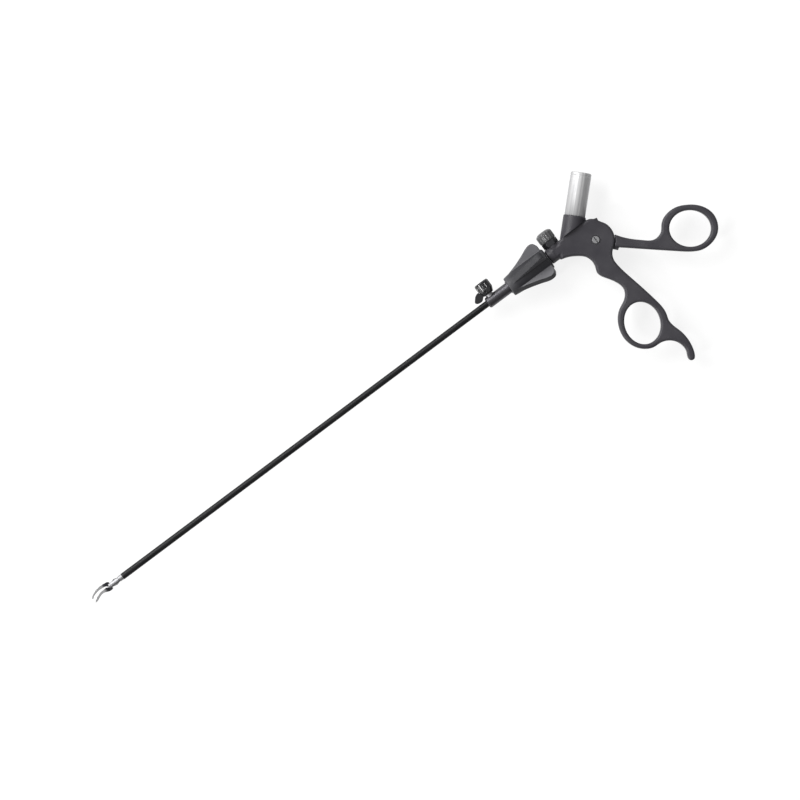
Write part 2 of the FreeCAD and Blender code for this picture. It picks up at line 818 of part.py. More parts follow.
def make_wheel():
    """The finned wheel, the grooved spigot that turns in the handle's neck, and the rod's seal."""
    nose = size.wheel_nose_diameter / 2
    hub = size.wheel_hub_diameter / 2
    body = turned("rotation_wheel", [
        (wheel_front, size.tube_diameter / 2),
        (wheel_front, nose - size.wheel_nose_edge),
        (wheel_front + size.wheel_nose_edge, nose),
        (wheel_front + size.wheel_nose_length, hub),
        (wheel_rear - size.wheel_rear_edge, hub),
        (wheel_rear, hub - size.wheel_rear_edge),
        (wheel_rear, size.spigot_diameter / 2),
        (spigot_front, size.spigot_diameter / 2),
        (spigot_front, size.tube_diameter / 2),
    ])
    fin = new_sketch(body)
    front = number_of(wheel_front)
    rear = number_of(wheel_rear)
    crest = number_of(size.wheel_fin_radius)
    under = number_of(hub) - 1.6
    rise = [
        (front + 1.6, under),
        (front + 2.4, number_of(nose) - 0.2),
        (front + 12.4, number_of(hub) * 1.16),
        (front + 20.8, crest - 3.5),
        (front + 26.0, crest - 0.9),
        (front + 29.4, crest),
        (front + 32.2, crest - 0.9),
        (rear - 1.4, crest - 4.0),
        (rear - 1.3, under),
    ]
    add_line(fin, rise[0], rise[1])
    add_spline(fin, rise[1:8])
    add_line(fin, rise[7], rise[8])
    add_line(fin, rise[8], rise[0])
    fin_pad = feature(body, "Pad", fin, size.wheel_fin_thickness)
    pattern(body, fin_pad, size.wheel_fin_count)
    bore = rod_radius + size.running_gap
    seal_front = tube_rear + size.seal_from_tube
    turned("barrel_spigot", [
        (spigot_front, size.tube_diameter / 2),
        (spigot_front, size.spigot_diameter / 2),
        (knob_x - size.groove_width / 2, size.spigot_diameter / 2),
        (knob_x - size.groove_width / 2, size.groove_diameter / 2),
        (knob_x + size.groove_width / 2, size.groove_diameter / 2),
        (knob_x + size.groove_width / 2, size.spigot_diameter / 2),
        (spigot_rear - size.spigot_edge, size.spigot_diameter / 2),
        (spigot_rear, size.spigot_diameter / 2 - size.spigot_edge),
        (spigot_rear, bore),
        (seal_front + size.seal_width, bore),
        (seal_front + size.seal_width, size.seal_diameter / 2),
        (seal_front, size.seal_diameter / 2),
        (seal_front, bore),
        (tube_rear, bore),
        (tube_rear, size.tube_diameter / 2),
    ])
    ring = doc.addObject("Part::Torus", "rod_seal")
    ring.Label = "rod_seal"
    middle = (size.seal_diameter / 2 + rod_radius + size.seal_slack) / 2
    section = (size.seal_diameter / 2 - rod_radius) / 2 - size.seal_slack
    ring.Radius1 = number_of(middle)
    ring.Radius2 = number_of(section)
    bind(ring, "Radius1", middle)
    bind(ring, "Radius2", section)
    place(ring, (seal_front + size.seal_width / 2, 0, 0), Z_TO_X)
    parts.append(ring)


# Handle with the front ring

def make_handle():
    """The moulded handle: hub, front ring and hook in one plate, with neck, socket, slot and bores."""
    body = new_body("handle_body")
    outline = new_sketch(body)
    cheek = number_of(size.cheek_radius)
    ring = (number_of(size.front_ring_x), number_of(size.front_ring_y))

    def from_pivot(dx, dy):
        return (P[0] + dx, P[1] + dy)

    def from_ring(dx, dy):
        return (ring[0] + dx, ring[1] + dy)

    def on_cheek(degrees):
        return from_pivot(cheek * math.cos(math.radians(degrees)), cheek * math.sin(math.radians(degrees)))

    low = from_pivot(-28.6, 3.6)
    edge = [
        low,
        from_pivot(-21.8, 1.3), from_pivot(-17.0, -1.7), from_pivot(-12.8, -5.6),
        from_pivot(-11.1, -10.6), from_pivot(-11.7, -15.4), from_pivot(-13.1, -19.4),
        from_pivot(-10.1, -26.9), from_pivot(-6.1, -33.7), from_pivot(-4.8, -40.8),
        from_ring(-0.9, 21.2), from_ring(-6.9, 18.2), from_ring(-12.3, 13.3), from_ring(-15.8, 6.8),
        from_ring(-17.2, -1.4), from_ring(-16.0, -7.6), from_ring(-13.3, -12.6), from_ring(-9.2, -16.6),
        from_ring(-4.2, -18.9), from_ring(1.5, -19.3), from_ring(6.9, -21.1), from_ring(11.3, -25.0),
        from_ring(13.5, -30.2), from_ring(13.3, -35.6), from_ring(11.4, -40.2),
        from_ring(12.0, -42.7), from_ring(14.3, -43.3), from_ring(16.2, -41.6),
        from_ring(18.1, -37.2), from_ring(19.4, -29.5), from_ring(18.7, -21.6), from_ring(16.8, -14.6),
        from_ring(16.5, -9.4), from_ring(17.8, -5.2), from_ring(18.4, 1.4),
        from_ring(17.5, 8.5), from_ring(13.6, 28.6), from_pivot(2.0, -24.5), from_pivot(1.9, -20.4),
        from_pivot(3.3, -15.9), from_pivot(5.6, -13.2), on_cheek(-50), on_cheek(-35), on_cheek(-20),
        on_cheek(-5), on_cheek(10), on_cheek(25), on_cheek(40), from_pivot(8.6, 12.2), from_pivot(4.2, 15.4),
    ]
    add_spline(outline, edge)
    shoulder = from_pivot(-23.0, 15.4)
    add_line(outline, edge[-1], shoulder)
    add_line(outline, shoulder, low)
    add_ellipse(outline, ring, number_of(size.front_ring_long), number_of(size.front_ring_short),
                number_of(size.front_ring_turn))
    feature(body, "Pad", outline, size.handle_thickness)

    def in_ring(rim):
        return rim.Curve.TypeId == "Part::GeomEllipse" and rim.BoundBox.ZLength < 0.01

    def on_rim(rim):
        return rim.BoundBox.ZLength < 0.01 and not in_ring(rim)

    round_edges(body, on_rim, size.handle_edge)
    round_edges(body, in_ring, size.ring_edge)

    lip = new_sketch(body)
    corners = [from_pivot(2.0, 14.6), from_pivot(10.3, 12.5), from_pivot(9.9, 10.5), from_pivot(2.0, 8.0)]
    for spot, following in zip(corners, corners[1:] + corners[:1]):
        add_line(lip, spot, following)
    feature(body, "Pad", lip, size.handle_thickness - size.handle_edge)

    neck = new_sketch(body)
    neck_radius = size.neck_diameter / 2
    neck_rear = neck_front + size.neck_length
    add_polygon(neck, [
        (neck_front, 0),
        (neck_front, neck_radius - size.neck_edge),
        (neck_front + size.neck_edge, neck_radius),
        (neck_rear, neck_radius),
        (neck_rear + size.neck_tail_length, neck_radius - size.neck_tail_drop),
        (neck_rear + size.neck_tail_length, 0),
    ])
    revolve(body, neck)
    cylinder_feature(body, "Additive", size.boss_diameter / 2, size.boss_top, (knob_x, 0, 0), Z_TO_Y)

    turn = math.radians(number_of(size.socket_turn))

    def into_socket(depth):
        x = number_of(size.socket_x) - number_of(depth) * math.cos(turn)
        return (x, number_of(size.socket_y) - number_of(depth) * math.sin(turn), 0)

    cylinder_feature(body, "Additive", size.socket_diameter / 2, size.socket_length,
                     into_socket(size.socket_length), Z_TO_SOCKET)
    for sign in (1, -1):
        step = new_sketch(body, XY, size.handle_thickness / 2 * sign)
        add_polygon(step, [
            (size.pivot_along - size.step_front, -size.step_low),
            (size.pivot_along + size.step_rear, -size.step_low),
            (size.pivot_along + size.step_rear, size.socket_step),
            (size.pivot_along - size.step_front, size.socket_step),
        ])
        feature(body, "Pocket", step, size.handle_thickness, both_ways=False, reverse=sign > 0)

    slot = new_sketch(body)
    add_circle(slot, pivot[0], pivot[1], size.slot_radius)
    feature(body, "Pocket", slot, size.slot_width)
    hole = new_sketch(body)
    add_circle(hole, pivot[0], pivot[1], size.bush_bore / 2)
    feature(body, "Pocket", hole)
    for sign in (1, -1):
        seat = new_sketch(body, XY, size.handle_thickness / 2 * sign)
        add_circle(seat, pivot[0], pivot[1], size.screw_head_diameter / 2 + size.screw_seat_gap)
        feature(body, "Pocket", seat, size.screw_head_sink, both_ways=False, reverse=sign < 0)
    cylinder_feature(body, "Subtractive", size.spigot_diameter / 2 + size.running_gap,
                     size.spigot_in_handle + size.neck_bore_past, (neck_front - 1, 0, 0), Z_TO_X)
    cylinder_feature(body, "Subtractive", size.stud_diameter / 2 + size.running_gap, size.boss_top + 1,
                     (knob_x, 0, 0), Z_TO_Y)
    cylinder_feature(body, "Subtractive", size.shroud_diameter / 2, size.shroud_sunk * 1.5,
                     into_socket(size.shroud_sunk), Z_TO_SOCKET)
    cylinder_feature(body, "Subtractive", size.pin_shank_diameter / 2, size.pin_sunk,
                     into_socket(size.pin_sunk), Z_TO_SOCKET)


# Thumb lever

def make_lever():
    """The thumb lever: ring and arm, and a thinner tongue that forks round the rod's ball."""
    body = new_body("thumb_lever")
    outline = new_sketch(body)
    ring = (number_of(size.thumb_ring_x), number_of(size.thumb_ring_y))

    def from_pivot(dx, dy):
        return (P[0] + dx, P[1] + dy)

    def from_ring(dx, dy):
        return (ring[0] + dx, ring[1] + dy)

    face = number_of(size.cheek_radius + size.lever_face_gap)

    def on_face(degrees):
        return from_pivot(face * math.cos(math.radians(degrees)), face * math.sin(math.radians(degrees)))

    face_low = number_of(size.lever_face_low)
    face_high = number_of(size.lever_face_high)
    shoulder = on_face(face_low)
    upper_edge = [
        on_face(face_high), from_pivot(17.3, -10.4), from_pivot(22.8, -16.4), from_pivot(27.8, -20.9),
        from_pivot(31.8, -24.1), from_pivot(35.0, -25.2),
        from_ring(-21.2, 9.4), from_ring(-18.0, 11.0), from_ring(-15.7, 13.7), from_ring(-12.2, 16.9),
        from_ring(-8.2, 18.5), from_ring(-2.7, 19.1), from_ring(2.8, 18.0), from_ring(7.8, 15.5),
        from_ring(12.9, 11.8), from_ring(16.4, 7.8), from_ring(18.9, 2.8), from_ring(19.7, -2.6),
        from_ring(18.3, -8.6), from_ring(14.9, -13.6), from_ring(9.8, -16.8), from_ring(3.8, -18.1),
        from_ring(-2.2, -17.6), from_ring(-6.7, -15.6), from_ring(-11.2, -12.6), from_ring(-16.2, -8.5),
        from_pivot(33.0, -33.7), from_pivot(21.0, -23.4), shoulder,
    ]
    add_spline(outline, upper_edge)
    circle = Part.Circle(FreeCAD.Vector(*P, 0), FreeCAD.Vector(0, 0, 1), face)
    outline.addGeometry(Part.ArcOfCircle(circle, math.radians(face_low), math.radians(face_high)))
    add_ellipse(outline, ring, number_of(size.thumb_ring_long), number_of(size.thumb_ring_short),
                number_of(size.thumb_ring_turn))
    feature(body, "Pad", outline, size.lever_thickness)

    def on_rim(rim):
        return rim.BoundBox.ZLength < 0.01 and rim.Length > 20

    round_edges(body, on_rim, size.lever_edge)

    neck = new_sketch(body)
    half_neck = number_of(size.tongue_neck_width) / 2
    across = math.radians(number_of(size.tongue_neck_turn))
    reach = number_of(size.tongue_neck_length)
    ux, uy = math.cos(across), math.sin(across)
    corners = [
        from_pivot(-uy * half_neck, ux * half_neck),
        from_pivot(-uy * half_neck + ux * reach, ux * half_neck + uy * reach),
        from_pivot(uy * half_neck + ux * reach, -ux * half_neck + uy * reach),
        from_pivot(uy * half_neck, -ux * half_neck),
    ]
    for spot, following in zip(corners, corners[1:] + corners[:1]):
        add_line(neck, spot, following)
    feature(body, "Pad", neck, size.tongue_thickness)
    hub = new_sketch(body)
    add_circle(hub, pivot[0], pivot[1], size.tongue_hub_radius)
    feature(body, "Pad", hub, size.tongue_thickness)
    fork = new_sketch(body)
    half_fork = size.fork_width / 2
    add_polygon(fork, [
        (size.pivot_along - half_fork, -size.pivot_below),
        (size.pivot_along + half_fork, -size.pivot_below),
        (size.pivot_along + half_fork, size.fork_above_ball - size.fork_edge),
        (size.pivot_along + half_fork - size.fork_edge, size.fork_above_ball),
        (size.pivot_along - half_fork + size.fork_edge, size.fork_above_ball),
        (size.pivot_along - half_fork, size.fork_above_ball - size.fork_edge),
    ])
    feature(body, "Pad", fork, size.tongue_thickness)
    hole = new_sketch(body)
    add_circle(hole, pivot[0], pivot[1], size.bush_diameter / 2 + size.running_gap)
    feature(body, "Pocket", hole)
    pocket_radius = size.ball_diameter / 2 + size.fork_side_gap
    seat = new_sketch(body)
    add_circle(seat, size.pivot_along, 0, pocket_radius)
    feature(body, "Pocket", seat, size.tongue_thickness + 2)
    mouth = new_sketch(body)
    add_polygon(mouth, [
        (size.pivot_along - pocket_radius, 0),
        (size.pivot_along + pocket_radius, 0),
        (size.pivot_along + pocket_radius, size.fork_above_ball + 1),
        (size.pivot_along - pocket_radius, size.fork_above_ball + 1),
    ])
    feature(body, "Pocket", mouth, size.tongue_thickness + 2)
    throat = new_sketch(body)
    throat_half = rod_radius + size.throat_gap
    add_polygon(throat, [
        (size.pivot_along - half_fork - 2, -throat_half),
        (size.pivot_along, -throat_half),
        (size.pivot_along, size.fork_above_ball + 1),
        (size.pivot_along - half_fork - 2, size.fork_above_ball + 1),
    ])
    feature(body, "Pocket", throat, throat_half * 2)


def make_pivot():
    """The pivot: slotted screw from above, round nut below, bush in the lever and two washers."""
    top = size.handle_thickness / 2 - size.screw_head_sink
    head = size.screw_head_diameter / 2
    shank = size.bush_bore / 2
    face = top + size.screw_head_height
    end = -(face - size.screw_end_sunk)
    screw = turned("pivot_screw", [
        (end, 0),
        (end, shank),
        (top, shank),
        (top, head),
        (face - size.screw_edge, head),
        (face, head - size.screw_edge),
        (face, 0),
    ])
    place(screw, (pivot[0], pivot[1], 0), ALONG_Z)
    cut_slot(screw, face, 1)
    nut = turned("pivot_nut", [
        (-face, shank),
        (-face, head - size.screw_edge),
        (-(face - size.screw_edge), head),
        (-top, head),
        (-top, shank),
    ])
    place(nut, (pivot[0], pivot[1], 0), ALONG_Z)
    cut_slot(nut, -face, -1)
    bush = turned("pivot_bush", [
        (-(size.slot_width / 2), shank),
        (-(size.slot_width / 2), size.bush_diameter / 2),
        (size.slot_width / 2, size.bush_diameter / 2),
        (size.slot_width / 2, shank),
    ])
    place(bush, (pivot[0], pivot[1], 0), ALONG_Z)
    for name, sign in (("upper_washer", 1), ("lower_washer", -1)):
        inner_face = (size.slot_width / 2 - size.washer_thickness) * sign
        outer_face = size.slot_width / 2 * sign
        washer = turned(name, [
            (inner_face, size.bush_diameter / 2 + size.running_gap),
            (inner_face, size.washer_diameter / 2),
            (outer_face, size.washer_diameter / 2),
            (outer_face, size.bush_diameter / 2 + size.running_gap),
        ])
        place(washer, (pivot[0], pivot[1], 0), ALONG_Z)


def cut_slot(body, end, outward):
    """A driver slot across a head whose face is at end; outward is the side on which the face looks."""
    sketch = new_sketch(body, YZ, end)
    half = size.screw_slot_width / 2
    wide = size.screw_head_diameter
    add_polygon(sketch, [(-wide, -half), (wide, -half), (wide, half), (-wide, half)])
    feature(body, "Pocket", sketch, size.screw_slot_depth, both_ways=False, reverse=outward < 0)


# Lock knob

def make_lock():
    """The knurled knob with its threaded stud, and the six-sided collar that it screws through."""
    base = size.boss_top + size.collar_height
    foot = base + size.moving_gap
    shoulder = foot + size.knob_height
    radius = size.knob_diameter / 2
    knob = turned("lock_knob", [
        (foot, size.stud_diameter / 2),
        (foot, radius - size.knob_foot_edge),
        (foot + size.knob_foot_edge, radius),
        (shoulder, radius),
        (shoulder + size.knob_dome * 0.7, radius - size.knob_dome_step),
        (shoulder + size.knob_dome, size.knob_top_diameter / 2),
        (shoulder + size.knob_dome, 0),
        (shoulder - size.knob_bore_depth, 0),
        (shoulder - size.knob_bore_depth, size.stud_diameter / 2),
    ])
    flute = new_sketch(knob, YZ, base)
    add_circle(flute, radius + size.knob_flute_radius * size.knob_flute_share, 0, size.knob_flute_radius)
    cut = feature(knob, "Pocket", flute, size.knob_height + size.knob_dome * 2, both_ways=False, reverse=True)
    pattern(knob, cut, size.knob_flute_count)
    place(knob, (knob_x, 0, 0), ALONG_Y)
    tip = size.groove_diameter / 2 + size.moving_gap
    clear = size.spigot_diameter / 2 + size.moving_gap
    stud = turned("lock_stud", [
        (tip, 0),
        (tip, size.stud_tip_diameter / 2),
        (clear, size.stud_tip_diameter / 2),
        (clear + size.stud_shoulder, size.stud_diameter / 2),
        (shoulder - size.knob_bore_depth, size.stud_diameter / 2),
        (shoulder - size.knob_bore_depth, 0),
    ])
    place(stud, (knob_x, 0, 0), ALONG_Y)
    collar = new_body("lock_collar")
    plan = new_sketch(collar, YZ, size.boss_top)
    corner = number_of(size.collar_across_flats) / math.sqrt(3)
    spots = []
    for step in range(6):
        angle = math.radians(60 * step)
        spots.append((corner * math.cos(angle), corner * math.sin(angle)))
    for spot, following in zip(spots, spots[1:] + spots[:1]):
        add_line(plan, spot, following)
    add_circle(plan, 0, 0, size.stud_diameter / 2 + size.running_gap)
    feature(collar, "Pad", plan, size.collar_height, both_ways=False)
    place(collar, (knob_x, 0, 0), ALONG_Y)


# Connector

def make_connector():
    """The metal shroud in the handle's socket, the insulator in its foot and the contact pin."""
    turn = FreeCAD.Rotation(FreeCAD.Vector(0, 0, 1), number_of(size.socket_turn))
    spot = (size.socket_x, size.socket_y, 0)
    inner = size.shroud_bore / 2
    outer = size.shroud_diameter / 2
    shroud = turned("connector_shroud", [
        (-size.shroud_sunk, inner),
        (-size.shroud_sunk, outer),
        (size.shroud_length - size.shroud_edge, outer),
        (size.shroud_length - size.shroud_lip, outer - size.shroud_lip),
        (size.shroud_length, outer - size.shroud_edge),
        (size.shroud_length, inner),
    ])
    place(shroud, spot, turn)
    face = size.insulator_step + size.insulator_cone
    shank = size.pin_shank_diameter / 2
    radius = size.pin_diameter / 2
    insulator = turned("pin_insulator", [
        (-size.shroud_sunk, shank),
        (-size.shroud_sunk, inner),
        (size.insulator_step, inner),
        (face, radius + size.insulator_cone),
        (face, shank),
    ])
    place(insulator, spot, turn)
    pin = turned("connector_pin", [
        (-size.pin_sunk, 0),
        (-size.pin_sunk, shank),
        (face, shank),
        (face, radius),
        (size.pin_length - size.pin_point, radius),
        (size.pin_length, radius - size.pin_point),
        (size.pin_length, 0),
    ])
    place(pin, spot, turn)


make_shaft()
make_clevis()
for jaw_name, pin_name, link_name, jaw_side in (
        ("upper_jaw", "upper_tail_pin", "upper_link", 1),
        ("lower_jaw", "lower_tail_pin", "lower_link", -1)):
    jaw_tail, jaw_turn = make_jaw(jaw_name, jaw_side)
    make_link_pin(pin_name, jaw_side, jaw_tail, jaw_turn)
    make_link(link_name, jaw_side)
make_rod()
make_port()
make_wheel()
make_handle()
make_lever()
make_pivot()
make_lock()
make_connector()
doc.recompute()

# Nothing is written unless every object is sound

for item in doc.Objects:
    if "Invalid" in item.State or "Error" in item.State:
        raise RuntimeError(item.Name + " did not compute")
for item in parts:
    if item.Shape.isNull() or not item.Shape.isValid():
        raise RuntimeError(item.Label + " has no sound shape")

os.makedirs("parts", exist_ok=True)
for item in parts:
    item.Shape.exportStep("parts/" + item.Label + ".step")
    print(item.Label, len(item.Shape.Solids), round(item.Shape.Volume, 2))
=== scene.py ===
"""Looks of a grasping forceps that lies on its side.

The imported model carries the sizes, and this script the finish.
"""

from __future__ import annotations

import json
import logging
import math
from collections.abc import Callable
from dataclasses import dataclass, field
from enum import Enum
from typing import Any

import bmesh
import bpy
from mathutils import Matrix, Vector

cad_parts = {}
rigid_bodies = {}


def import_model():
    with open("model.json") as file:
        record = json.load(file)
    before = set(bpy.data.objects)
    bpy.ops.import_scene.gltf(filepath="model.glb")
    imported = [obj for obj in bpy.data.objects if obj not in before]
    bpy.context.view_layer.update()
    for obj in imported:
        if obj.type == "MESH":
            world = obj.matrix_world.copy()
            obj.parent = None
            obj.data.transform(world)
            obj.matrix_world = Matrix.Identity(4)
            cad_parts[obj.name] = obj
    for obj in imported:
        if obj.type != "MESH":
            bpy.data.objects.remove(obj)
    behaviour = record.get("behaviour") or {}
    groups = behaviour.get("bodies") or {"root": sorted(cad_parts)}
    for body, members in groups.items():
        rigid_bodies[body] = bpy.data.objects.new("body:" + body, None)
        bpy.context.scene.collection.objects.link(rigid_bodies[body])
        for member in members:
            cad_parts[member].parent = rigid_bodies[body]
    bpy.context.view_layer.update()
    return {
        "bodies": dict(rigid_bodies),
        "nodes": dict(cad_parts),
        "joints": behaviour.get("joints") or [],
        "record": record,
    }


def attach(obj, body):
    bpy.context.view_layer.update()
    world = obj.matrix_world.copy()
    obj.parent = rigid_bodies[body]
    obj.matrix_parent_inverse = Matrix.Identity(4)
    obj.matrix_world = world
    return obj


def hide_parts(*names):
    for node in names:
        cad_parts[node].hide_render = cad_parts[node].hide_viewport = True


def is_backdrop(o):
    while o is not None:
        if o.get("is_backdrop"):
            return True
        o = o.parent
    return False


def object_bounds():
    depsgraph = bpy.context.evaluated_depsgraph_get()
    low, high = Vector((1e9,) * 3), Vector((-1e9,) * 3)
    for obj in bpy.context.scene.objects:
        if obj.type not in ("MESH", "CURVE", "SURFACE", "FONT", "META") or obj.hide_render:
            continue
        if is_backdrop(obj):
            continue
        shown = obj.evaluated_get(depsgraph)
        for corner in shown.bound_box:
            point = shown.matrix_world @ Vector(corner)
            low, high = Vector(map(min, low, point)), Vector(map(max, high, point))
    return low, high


LOG = logging.getLogger("forceps")
Colour = tuple[float, float, float]
Frame = dict[str, Any]
MM = 0.001
# The attribute that carries how dark a point is, mostly painted shade.
SHADE = "shade"
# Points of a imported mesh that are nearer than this, in metres, become one.
WELD = 2e-6
# Places nearer than this, in metres, count as the same.
SAME_PLACE = 1e-7
# A point of a turned outline this near the axis, in millimetres, is a pole.
ON_AXIS = 1e-6


class Grain(Enum):
    """Directions that a metal's brushing runs in, each with its noise's stretch along X, Y and Z."""

    ALONG_SHAFT = (40.0, 3000.0, 3000.0)
    ALONG_SOCKET = (6.0, 700.0, 700.0)
    ROUND_SHAFT = (6000.0, 120.0, 120.0)
    POLISHED = (400.0, 400.0, 400.0)


@dataclass(frozen=True)
class Socket:
    """The slanted cable socket's axis, in the part's frame."""

    x: float = 88.6 * MM
    y: float = 12.9 * MM
    turn: float = math.radians(44.6)

    def place(self) -> Matrix:
        """Takes the X axis to the socket's axis, with the origin at its face."""
        return Matrix.Translation((self.x, self.y, 0.0)) @ Matrix.Rotation(self.turn, 4, "Z")


# Finishes


def math_node(tree: bpy.types.NodeTree, operation: str) -> bpy.types.Node:
    """Adds a math node with its operation to a tree."""
    node = tree.nodes.new("ShaderNodeMath")
    node.operation = operation
    return node


class ShaderBoard:
    """A material's node tree with short calls for the nodes that the finishes need."""

    def __init__(self, name: str) -> None:
        """Starts a material.

        Args:
            name: the material's name.
        """
        self.material = bpy.data.materials.new(name)
        self.material.use_nodes = True
        self.tree = self.material.node_tree
        self.shader = next(node for node in self.tree.nodes if node.type == "BSDF_PRINCIPLED")

    def add(self, kind: str, **values: object) -> bpy.types.Node:
        """Adds a node.

        Args:
            kind: the node's type name.
            **values: properties of the node.

        Returns:
            The new node.
        """
        node = self.tree.nodes.new(kind)
        for name, value in values.items():
            setattr(node, name, value)
        return node

    def join(self, source: bpy.types.NodeSocket, target: bpy.types.NodeSocket) -> None:
        """Links two sockets."""
        self.tree.links.new(source, target)

    def place(self, scale: tuple[float, float, float] = (1.0, 1.0, 1.0),
              turn: float = 0.0) -> bpy.types.NodeSocket:
        """Object coordinates, turned about Z and stretched.

        Args:
            scale: stretch along the turned axes.
            turn: angle about Z, in radians.

        Returns:
            The vector socket.
        """
        source = self.add("ShaderNodeTexCoord")
        turned = self.add("ShaderNodeMapping")
        turned.inputs["Rotation"].default_value = (0.0, 0.0, -turn)
        stretched = self.add("ShaderNodeMapping")
        stretched.inputs["Scale"].default_value = scale
        self.join(source.outputs["Object"], turned.inputs["Vector"])
        self.join(turned.outputs["Vector"], stretched.inputs["Vector"])
        return stretched.outputs["Vector"]

    def noise(self, vector: bpy.types.NodeSocket, scale: float, detail: float = 3.0) -> bpy.types.NodeSocket:
        """A noise value from a vector.

        Args:
            vector: where it is read.
            scale: its fineness.
            detail: its octaves.

        Returns:
            The value socket.
        """
        node = self.add("ShaderNodeTexNoise")
        node.inputs["Scale"].default_value = scale
        node.inputs["Detail"].default_value = detail
        self.join(vector, node.inputs["Vector"])
        return node.outputs["Fac"]

    def spread(self, value: bpy.types.NodeSocket, low: float, high: float,
               start: float = 0.3, end: float = 0.7) -> bpy.types.NodeSocket:
        """Maps a value's range to another.

        Args:
            value: the socket that is mapped.
            low: result at start.
            high: result at end.
            start: input that gives low.
            end: input that gives high.

        Returns:
            The mapped value.
        """
        node = self.add("ShaderNodeMapRange")
        node.inputs["From Min"].default_value = start
        node.inputs["From Max"].default_value = end
        node.inputs["To Min"].default_value = low
        node.inputs["To Max"].default_value = high
        self.join(value, node.inputs["Value"])
        return node.outputs["Result"]

    def tint(self, value: bpy.types.NodeSocket, first: Colour, second: Colour) -> None:
        """Colours the shader between two colours by a value.

        Args:
            value: the mixing value.
            first: colour at 0.
            second: colour at 1.
        """
        node = self.add("ShaderNodeMix", data_type="RGBA")
        colours = [socket for socket in node.inputs if socket.type == "RGBA"]
        colours[0].default_value = (*first, 1.0)
        colours[1].default_value = (*second, 1.0)
        self.join(value, node.inputs["Factor"])
        result = next(socket for socket in node.outputs if socket.type == "RGBA")
        self.join(result, self.shader.inputs["Base Color"])

    def reach(self, low: float, high: float, axis: str = "X") -> bpy.types.NodeSocket:
        """A value that runs from 0 to 1 along one axis of the object.

        Args:
            low: place of 0, in metres.
            high: place of 1, in metres.
            axis: the axis's letter.

        Returns:
            The value socket.
        """
        source = self.add("ShaderNodeTexCoord")
        parts = self.add("ShaderNodeSeparateXYZ")
        self.join(source.outputs["Object"], parts.inputs["Vector"])
        node = self.add("ShaderNodeMapRange", interpolation_type="SMOOTHSTEP")
        node.inputs["From Min"].default_value = low
        node.inputs["From Max"].default_value = high
        self.join(parts.outputs[axis], node.inputs["Value"])
        return node.outputs["Result"]

    def painted(self, layer: str) -> bpy.types.NodeSocket:
        """Reads a value that was painted on the piece's own points.

        Args:
            layer: the attribute's name.

        Returns:
            The value socket.
        """
        node = self.add("ShaderNodeAttribute", attribute_name=layer)
        return node.outputs["Fac"]

    def plus(self, first: bpy.types.NodeSocket, second: bpy.types.NodeSocket,
             weight: float) -> bpy.types.NodeSocket:
        """One value plus a share of another.

        Args:
            first: the value that counts fully.
            second: the value that is weighted.
            weight: share of the second.

        Returns:
            The sum's socket.
        """
        node = self.add("ShaderNodeMath", operation="MULTIPLY_ADD")
        node.inputs[1].default_value = weight
        self.join(second, node.inputs[0])
        self.join(first, node.inputs[2])
        return node.outputs[0]

    def roughen(self, value: bpy.types.NodeSocket, middle: float, less: float, more: float) -> None:
        """Varies the shader's roughness by a value.

        Args:
            value: the mixing value.
            middle: the usual roughness.
            less: how far it falls.
            more: how far it rises.
        """
        self.join(self.spread(value, middle - less, middle + more), self.shader.inputs["Roughness"])

    def coat(self, weight: float, roughness: float) -> None:
        """Lays a clear coat over the shader."""
        self.shader.inputs["Coat Weight"].default_value = weight
        self.shader.inputs["Coat Roughness"].default_value = roughness

    def bump(self, height: bpy.types.NodeSocket, strength: float, distance: float) -> None:
        """Gives the shader a bump.

        Args:
            height: the height value.
            strength: share of the bump that shows.
            distance: height in metres.
        """
        node = self.add("ShaderNodeBump")
        node.inputs["Strength"].default_value = strength
        node.inputs["Distance"].default_value = distance
        self.join(height, node.inputs["Height"])
        self.join(node.outputs["Normal"], self.shader.inputs["Normal"])


@dataclass(frozen=True)
class MouldedPlastic:
    """Plastic from a finely eroded mould, with a soft sheen, faint handling marks and a parting line.

    Its depth and the parting line's width are in metres. On a painted one, painted shade on its points pulls
    the colour towards its second colour.
    """

    name: str
    colour: Colour
    rub_and_shade: Colour
    roughness: float = 0.42
    grain: float = 2600.0
    depth: float = 0.00003
    coat: float = 0.0
    parting: float = 0.0
    shine: float = 0.5
    painted: bool = False
    cloud: float = 70.0
    cloud_share: float = 0.2
    smoother: float = 0.05
    rougher: float = 0.08
    coat_roughness: float = 0.16
    ridge: float = 1.6
    relief: float = 0.35

    def build(self) -> bpy.types.Material:
        """Makes the material."""
        board = ShaderBoard(self.name)
        place = board.place()
        cloud = board.noise(place, self.cloud, detail=4.0)
        tone = board.spread(cloud, 0.0, 1.0, start=0.35)
        # On a painted piece the points' painted shade darkens the colour.
        if self.painted:
            tone = board.plus(board.painted(SHADE), tone, self.cloud_share)
        board.tint(tone, self.colour, self.rub_and_shade)
        board.shader.inputs["Specular IOR Level"].default_value = self.shine
        board.roughen(cloud, self.roughness, self.smoother, self.rougher)
        board.coat(self.coat, self.coat_roughness)
        height = board.noise(place, self.grain, detail=2.0)
        if self.parting > 0.0:
            height = board.plus(height, self._parting_line(board), self.ridge)
        board.bump(height, self.relief, self.depth)
        return board.material

    def _parting_line(self, board: ShaderBoard) -> bpy.types.NodeSocket:
        """A ridge round the piece at half its height, where the mould's halves met.

        Args:
            board: the material that gets it.

        Returns:
            The ridge's height, from 0 to 1.
        """
        below = board.reach(-2.0 * self.parting, 0.0, "Z")
        above = board.reach(2.0 * self.parting, 0.0, "Z")
        ridge = math_node(board.tree, "MINIMUM")
        board.join(below, ridge.inputs[0])
        board.join(above, ridge.inputs[1])
        return ridge.outputs[0]


